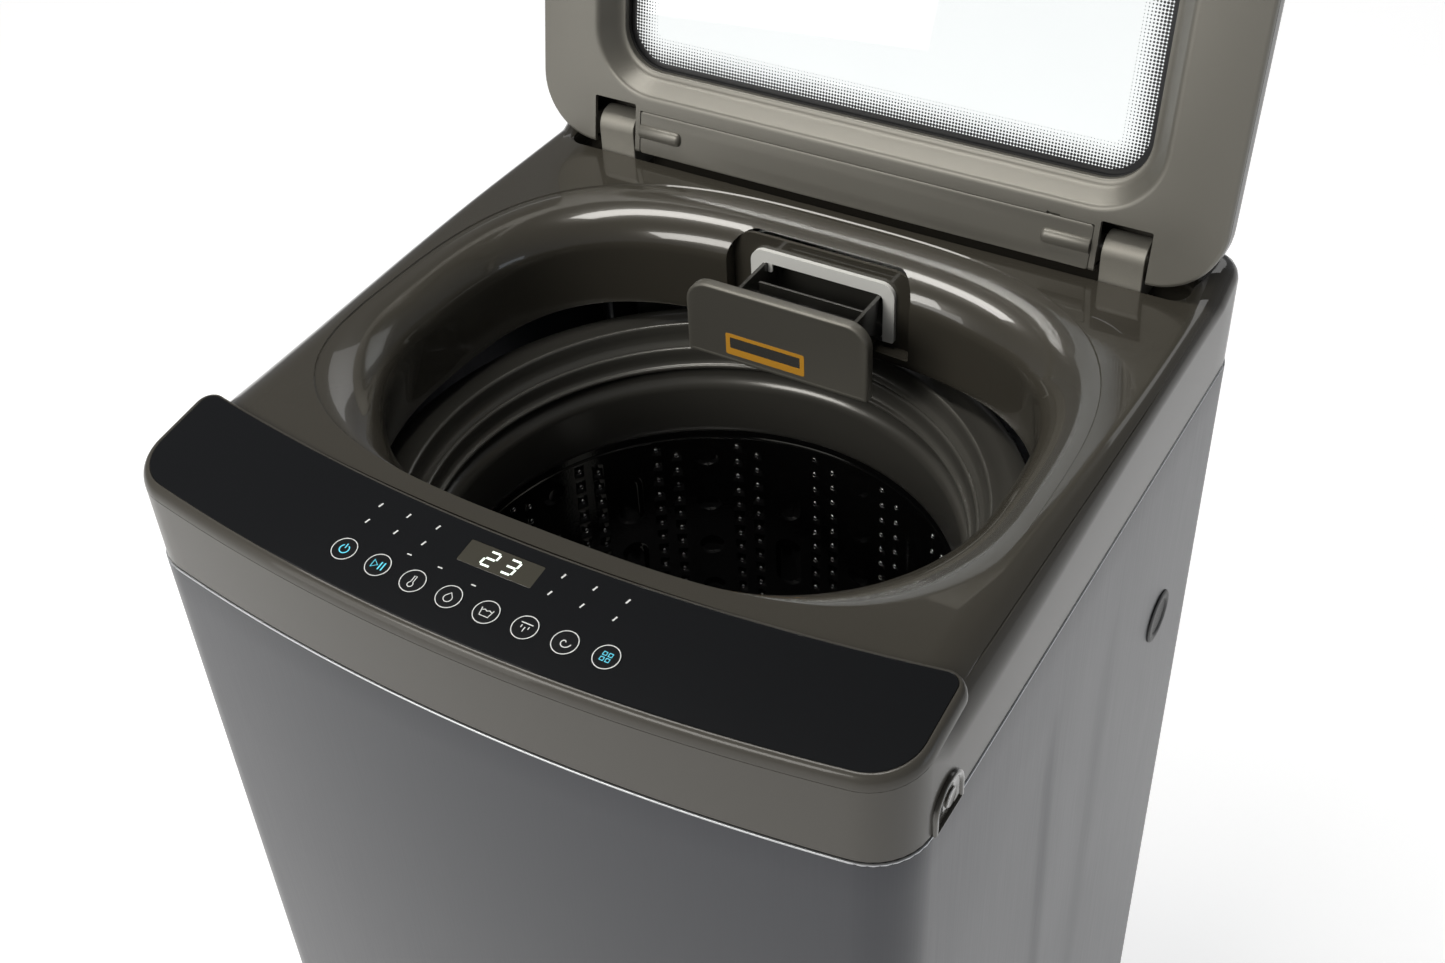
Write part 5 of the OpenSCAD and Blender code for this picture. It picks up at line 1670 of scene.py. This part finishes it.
def build_base():
    outline, inner, floor_edge = body_outline(SHEET + 0.15), body_outline(SHEET + 4), body_outline(SHEET + 6)
    centre = (0, TUB_Y + 15)
    angles = bearings([outline, arc(*WASH, 200, -180, 180, 96)], centre, 0.8)

    def ring(shape, z):
        return level(polar(shape, centre, angles), z)
    hole = arc(*centre, 190, -180, 180, 144)[:-1]
    lip = arc(*centre, 193.5, -180, 180, 144)[:-1]
    loops = [ring(lip, BASE + 0.1), ring(body_outline(SHEET + 1), BASE + 0.1), ring(outline, BASE + 0.8),
             ring(outline, BASE + BASE_H - 1), ring(body_outline(SHEET + 0.8), BASE + BASE_H),
             ring(body_outline(SHEET + 3.4), BASE + BASE_H), ring(inner, BASE + BASE_H - 1),
             ring(inner, BASE + 8), ring(floor_edge, BASE + 5), ring(lip, BASE + 5), ring(hole, BASE + 4.4),
             ring(hole, BASE + 0.7)]
    tray = solid("base_tray", loft(loops, ring=True))
    bores = []
    for x in (-FOOT_X, FOOT_X):
        bores.append(rod(6.1, BASE - 5, BASE + 80, (x, FOOT_Y, 0), n=36))
        bores.append(rod(8.05, BASE - 5, BASE + 30, (x, REAR_FOOT_Y, 0), n=36))
    posts = []
    for x in (-FOOT_X, FOOT_X):
        for y in (FOOT_Y, REAR_FOOT_Y):
            post = [(20, BASE + 4), (20, BASE + 43), (19, BASE + 44), (0.02, BASE + 44)]
            posts.append(spun(post, (x, y, 0)))
    carve(tray, *posts, how="UNION")
    carve(tray, *bores)
    piece(tray, "cabinet", DARK, "base_plastic", ["base_frame"], sharp=35)
    ribs = []
    for side in (-1, 1):
        for y in (-150, -60, 60, 150):
            ribs.append(block((side * (HALF_W - 5), y - 1.2, BASE + 5.2),
                              (side * (HALF_W - 5 - 38 * (0.4 + abs(y) / 250)), y + 1.2, BASE + 26)))
    for x in (-150, -75, 75, 150):
        ribs.append(block((x - 1.2, HALF_D - 5.2, BASE + 5.2), (x + 1.2, HALF_D - 60, BASE + 26)))
    make("base_ribs", joined(*ribs), "cabinet", DARK, "base_plastic", ["base_frame"], bevel=0.5)


def foot_shape(r, top):
    """A round rubber foot with grooves round its side."""
    profile = [(0.02, 0), (r - 1.6, 0), (r - 0.5, 0.5), (r, 1.8), (r - 0.2, 3.4), (r - 1.6, 4.2)]
    for k in range(3):
        z = mix(4.6, top - 2.4, k / 3)
        lean = mix(1.6, 5.4, k / 3)
        profile += [(r - lean, z), (r - lean - 0.9, z + 0.7), (r - lean - 0.5, z + 1.5)]
    return profile + [(r - 5.8, top - 0.6), (r - 6.6, top), (0.02, top)]


def build_feet():
    for name, x in (("front_foot_left", -FOOT_X), ("front_foot_right", FOOT_X)):
        pad = spun(foot_shape(22, BASE - 7), (x, FOOT_Y, 0), n=56)
        make(name + "_pad", pad, name, RUBBER, "black_rubber", [name], sharp=45)
        thread = [(0.02, BASE - 7.2), (5.3, BASE - 7)]
        for k in range(24):
            z = BASE - 6.6 + 1.6 * k
            thread += [(5.1, z), (5.98, z + 0.7), (5.98, z + 0.9)]
        thread += [(5.1, BASE + 33), (4.4, BASE + 34), (0.02, BASE + 34)]
        make(name + "_thread", spun(thread, (x, FOOT_Y, 0), n=36), name, ZINC, "zinc_steel", [name], sharp=50)
    rear = []
    for x in (-FOOT_X, FOOT_X):
        profile = [(0.02, 0), (20.4, 0), (21.5, 0.5), (22, 1.8), (21.6, 4), (19.4, BASE - 1.4),
                   (18.4, BASE - 0.1), (8, BASE), (8, BASE + 6.6), (6.6, BASE + 8), (0.02, BASE + 8)]
        rear.append(spun(profile, (x, REAR_FOOT_Y, 0), n=56))
    make("rear_foot_pair", joined(*rear), "cabinet", RUBBER, "black_rubber", ["rear_feet"], sharp=45)
    nuts = []
    for x in (-FOOT_X, FOOT_X):
        hexagon = arc(0, 0, 10.9, 0, 360, 6)[:-1]
        nut = solid("nut", moved(slab(hexagon, BASE - 6, BASE - 0.1), x, FOOT_Y))
        carve(nut, rod(6.1, 0, 40, (x, FOOT_Y, 0), n=36))
        nuts.append(nut)
    gather("foot_nut_pair", nuts, "cabinet", ZINC, "zinc_steel", ["foot_lock_nuts"], bevel=0.5)


def build_suspension():
    coils, rods = [], []
    for x, y in RODS_AT:
        turns, steps, wire = 9, 24, 1.45
        path = []
        for k in range(turns * steps + 1):
            a = 2 * math.pi * k / steps
            rise = smoothstep(0, 1, k / (turns * steps)) * 0.12 + k / (turns * steps) * 0.88
            path.append((x + 11 * math.cos(a), y + 11 * math.sin(a), 301.6 + 116.8 * rise))
        coils.append(sweep(path, circle_section(wire, 8)))
        profile = [(0.02, 286), (13.8, 286), (15, 287), (15, 298.6), (13.6, 300), (4.05, 300), (4, 300.4),
                   (4, SEAM - 15.2), (11.6, SEAM - 15), (12, SEAM - 14.2), (10.8, SEAM - 10.6),
                   (8.4, SEAM - 8), (6.4, SEAM - 7), (0.02, SEAM - 7)]
        rods.append(spun(profile, (x, y, 0), n=40))
    make("suspension_coils", joined(*coils), "cabinet", ZINC, "zinc_steel", ["suspension_springs"], sharp=60)
    make("suspension_rod_set", joined(*rods), "cabinet", ZINC, "zinc_steel", ["suspension_rods"], sharp=40)


BELT_SPAN = 170


def build_belt():
    """A flat belt with lengthwise grooves on its inner face, round the two pulleys."""
    big, small = 69.4, 13.4
    lean = math.degrees(math.asin((big - small) / BELT_SPAN))

    def loop(grow, z):
        line = (arc(0, BELT_SPAN, small + grow, lean, 180 - lean, 24)
                + arc(0, 0, big + grow, 180 - lean, 360 + lean, 64))
        return [(x, TUB_Y + y, z) for x, y in dense(line, 9)]
    section = [(0.6, 168), (2.4, 168.2), (2.4, 171.8), (0.6, 172)]
    for k in range(4):
        z = 171.4 - k * 0.9
        section += [(0.15, z), (0.15, z - 0.35), (0.75, z - 0.55)]
    make("ribbed_belt", loft([loop(grow, z) for grow, z in section], ring=True), "tub", RUBBER,
         "black_rubber", ["drive_belt"], sharp=35)


# ---- Parts that keep their CAD shape ----

KEPT = {
    "control_board": (BOARD, 0.2), "corner_brackets": (ZINC, 0.4), "lid_dampers": (RUBBER, 0.4),
    "tub_base_plate": (ZINC, 0.8), "motor": (MOTOR, 1.5), "gearbox": (ALLOY, 1.5),
    "drain_valve": (PULSE, 0.8), "basket_base": (DARK, 1.0), "basket_hub": (ALLOY, 0.8),
    "lint_filter": (WHITE, 0.8), "pulsator_bolt": (BRIGHT, 0.6), "wash_shaft": (BRIGHT, 0.5),
    "drive_pulley": (ALLOY, 0.5), "motor_pulley": (BRIGHT, 0.4)}

BUILDERS = (
    build_top_cover, build_trough, build_recess, build_bezel, build_panel, build_keys, build_display,
    build_lid_frame, build_lid_shell, build_glass, build_frit, build_strip, build_knuckles,
    build_drawer_front, build_drawer_tray, build_siphon, build_housing, build_tub_cover, build_tub,
    build_balance_ring, build_basket, build_pulsator, build_cabinet, build_seam_bead, build_side_details,
    build_back, build_screws, build_inlets, build_gland, build_drain, build_base, build_feet,
    build_suspension, build_belt)


def build_all():
    add_camera()
    add_world()
    add_floor()
    for name, setting in LIGHTS.items():
        add_softbox(name, *setting)
    for build in BUILDERS:
        build()
    for node, (material, bevel) in KEPT.items():
        dress(node, material, bevel)


# Each light: where it stands, what it aims at, width, height, power and colour
LIGHTS = {
    "overhead_strip": ((-0.75, -0.04, 3.0), (-0.75, 0.06, 0), 1.9, 0.45, 34, (1, 0.98, 0.94)),
    "front_light": ((-1.1, -3.0, 2.9), (0, 0, 0.9), 2.2, 1.2, 80, (1, 0.98, 0.94)),
    "left_light": ((-2.2, -3.4, 1.5), (0, 0, 0.7), 1.5, 2.2, 26, (1, 0.99, 0.96)),
    "right_light": ((3.6, 0.9, 0.9), (0, 0, 0.6), 1.4, 1.6, 8, (0.8, 0.9, 1.0)),
    "back_light": ((-0.4, 3.2, 3.0), (0, 0.6, 0), 3.4, 1.4, 16, (1, 1, 1)),
}

build_all()
bpy.context.scene.view_settings.view_transform = "Standard"
